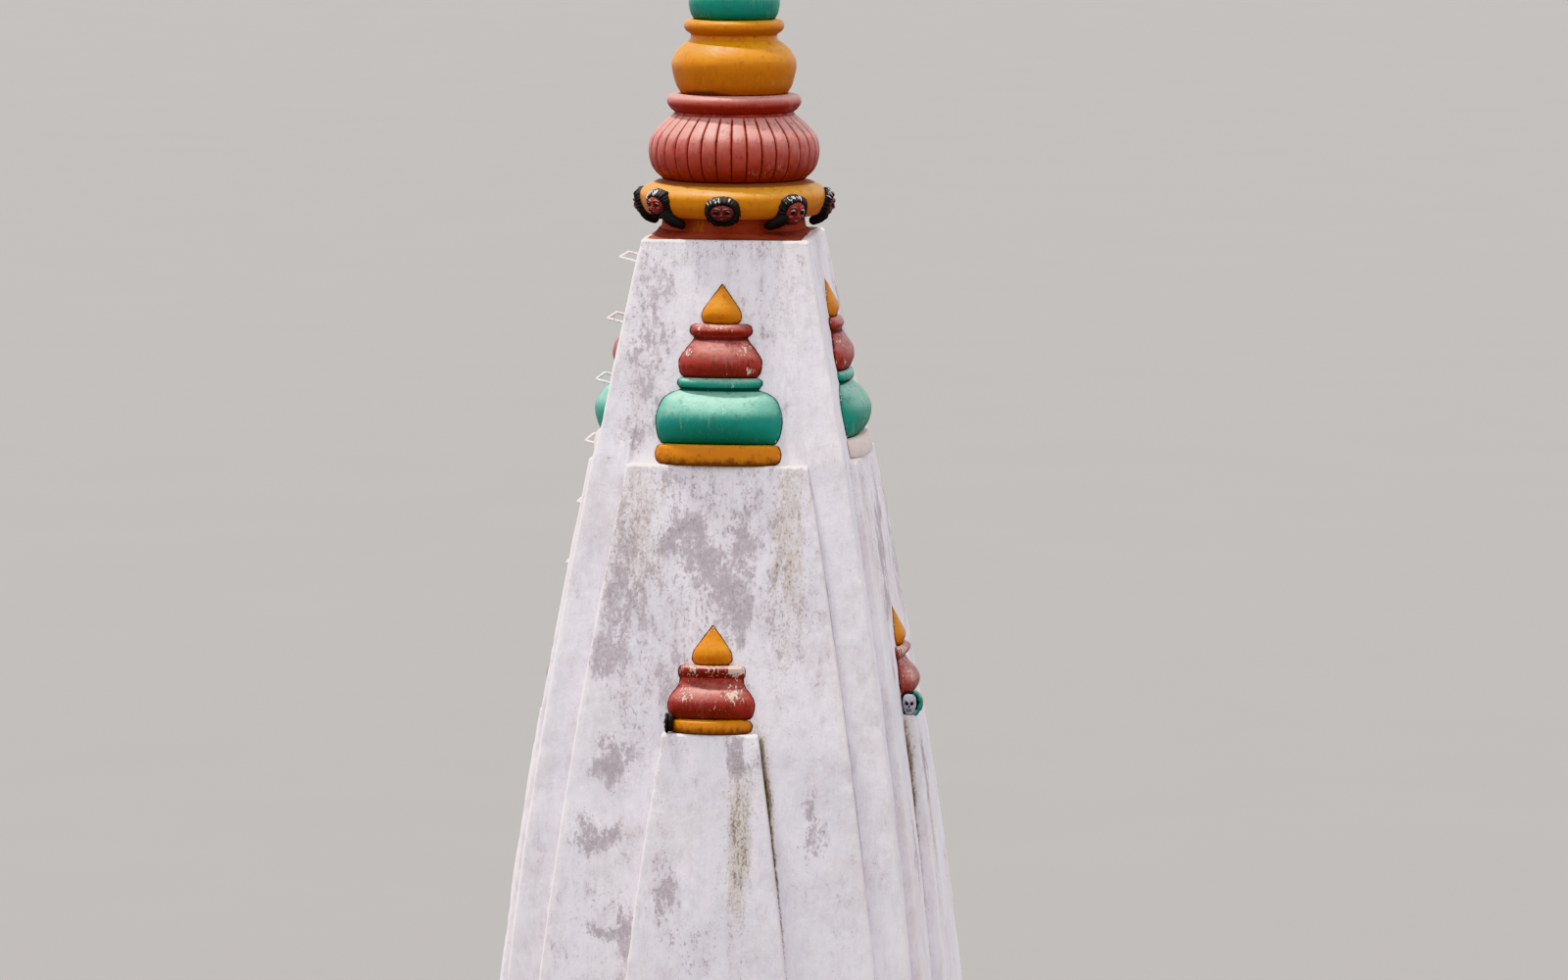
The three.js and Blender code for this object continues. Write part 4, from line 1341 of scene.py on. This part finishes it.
def addRingMasks():
    v = ringMasks
    seat = seats["crownMaskRing"]
    nod = math.radians(v["nod"])
    for i in range(8):
        turn = math.radians(i * 45 + v["turns"][i])
        away = Vector((math.sin(turn), -math.cos(turn), 0))
        across = Vector((math.cos(turn), math.sin(turn), 0))
        out = away * math.cos(nod) - Vector((0, 0, 1)) * math.sin(nod)
        up = Vector((0, 0, 1)) * math.cos(nod) + away * math.sin(nod)
        origin = away * v["radius"] + Vector((0, 0, seat + v["lift"] + v["lifts"][i]))
        hair = dict(v["hair"], lean=v["lean"][i], lime=v["lime"][i])
        paints = dict(v["paints"])
        if i in v["brown"]:
            paints.update(face="faceBrown", ring="lipPink", teeth="lipPink")
        face = {"wide": v["wide"], "tall": v["tall"][i], "low": v["low"][i], "cheeks": v["cheeks"][i],
                "crescent": v["crescents"][i in v["ringed"]]}
        bag = ringMask(paints, 300 + i, hair, face)
        # the body runs down under the ring to the foot, and swings towards the nearer of front and back
        if i % 4:
            swing = {1: -1.0, 2: 0.0, 3: 1.0}[i % 4]
            line = []
            for (r, z), sweep in zip(v["arm"], v["armSweep"]):
                p = away * r + across * sweep * swing + Vector((0, 0, seat + z)) - origin
                line.append((p.dot(across), p.dot(up), p.dot(out)))
            start = len(bag["points"])
            roll(bag, line, v["armWidths"], "maneBlack", 14)
            for k in range(start, len(bag["points"])):
                p = Vector(bag["points"][k])
                lump = Vector([noise.noise(p * 22 + Vector((i, shift, 0))) for shift in (0.0, 31.4, 67.9)])
                bag["points"][k] = tuple(p + v["armLumps"] * lump)
        placeBag(f"ringMask{i + 1}", bag, origin, across, up, out)


sideMasks = {
    "halves": [0.056, 0.074, 0.060, 0.070],  # front, right, back, left
    "across": -0.262,
    "lifts": [0.070, 0.080, 0.072, 0.078],
    "forward": 0.052,
    "tallShare": 1.18,
    "face": {"wide": 0.074, "tall": 0.096, "low": -0.016},
    "paints": {"mane": "maneBlack", "face": "skullWhite", "socket": "maneBlack", "drips": "maneBlack"},
    "scarves": ["maneBlack", "green", "maneBlack", "green"],
    "hair": {"narrow": 0.8, "drop": 0.0, "deep": 0.05, "lean": -38, "lime": 0.3, "spread": 40},
}


# A small mask looks sideways from the left end of each lower ring
def addSideMasks():
    v = sideMasks
    seat = spire["top"] - spire["narrowLedge"] + seatGap
    for turn in range(4):
        lift = v["lifts"][turn]
        face = float(wideFaceAt(spire["narrowLedge"] - lift))
        spin = Matrix.Rotation(turn * math.pi / 2, 3, "Z")
        origin = spin @ Vector((v["across"], -face - v["forward"], seat + lift))
        out, across, up = spin @ Vector((-1, 0, 0)), spin @ Vector((0, -1, 0)), Vector((0, 0, v["tallShare"]))
        paints = dict(v["paints"], scarf=v["scarves"][turn])
        bag = skullMask(paints, 330 + turn, v["hair"], v["face"])
        size = v["halves"][turn] / maskValues["half"]
        placeBag("ledgeMask" + faceNames[turn].capitalize(), bag, origin, across, up, out, size)


addRingMasks()
addSideMasks()
print("masks: eight on the crown ring, four on the lower rings")

ironValues = {
    "count": 6,
    "first": 0.155,  # depth of the first below the flat top
    "spacing": 0.410,
    "half": 0.210,
    "offset": -0.050,
    "reach": 0.164,
    "reachPanel": 0.080,
    "radius": 0.009,
    "rise": 0.25,  # how steeply the legs rise outwards
    "bend": 0.034,
    "sag": 0.004,
    "bendSteps": 5,
    "barSteps": 14,
}


# A step iron: one round bar bent like a wide staple, its ends let into the masonry
def addStepIron(number):
    v = ironValues
    depth = v["first"] + number * v["spacing"]
    onPanel = depth > spire["wideLedge"]
    reach = v["reachPanel"] if onPanel else v["reach"]
    face = float(wideFaceAt(depth) if onPanel else wallAt(depth))
    z = spire["top"] - depth
    bend, cut = v["bend"], v["bend"] * 0.3

    def at(side, out, inward=0.0):
        return (v["offset"] + side * (v["half"] - inward), -face - out, z + (out - reach) * v["rise"])

    leg = [(-bend, 0.0), (0.0, 0.0), (reach - bend, 0.0), (reach - cut, cut), (reach, bend)]
    knots = np.array([at(-1, *spot) for spot in leg] + [at(1, *spot) for spot in reversed(leg)])
    run = []
    for i in range(len(knots) - 1):
        steps = v["barSteps"] if i == 4 else v["bendSteps"]
        for t in np.arange(steps) / steps:
            if i in (0, 1, 4, 7, 8):
                run.append(knots[i] + (knots[i + 1] - knots[i]) * t)
            else:
                run.append(curveAt(*knots[i - 1:i + 3], t))
    run.append(knots[-1])
    sag = random.Random(400 + number).uniform(-v["sag"], v["sag"])
    wavy = [p + (0, 0, sag * math.sin(i / len(run) * math.pi)) for i, p in enumerate(run)]
    widths = [v["radius"] * (1 + 0.06 * math.sin(i * 1.7 + number)) for i in range(len(run))]
    bag = newBag()
    roll(bag, wavy, widths, "paintedIron", 12)
    points = turned(np.array(bag["points"]), 3)
    name = f"stepIron{number + 1}"
    addPiece(name, points, bag["faces"], "paintedIron", [f"step_iron_{number + 1}"])


for number in range(ironValues["count"]):
    addStepIron(number)
print("step irons:", ironValues["count"])
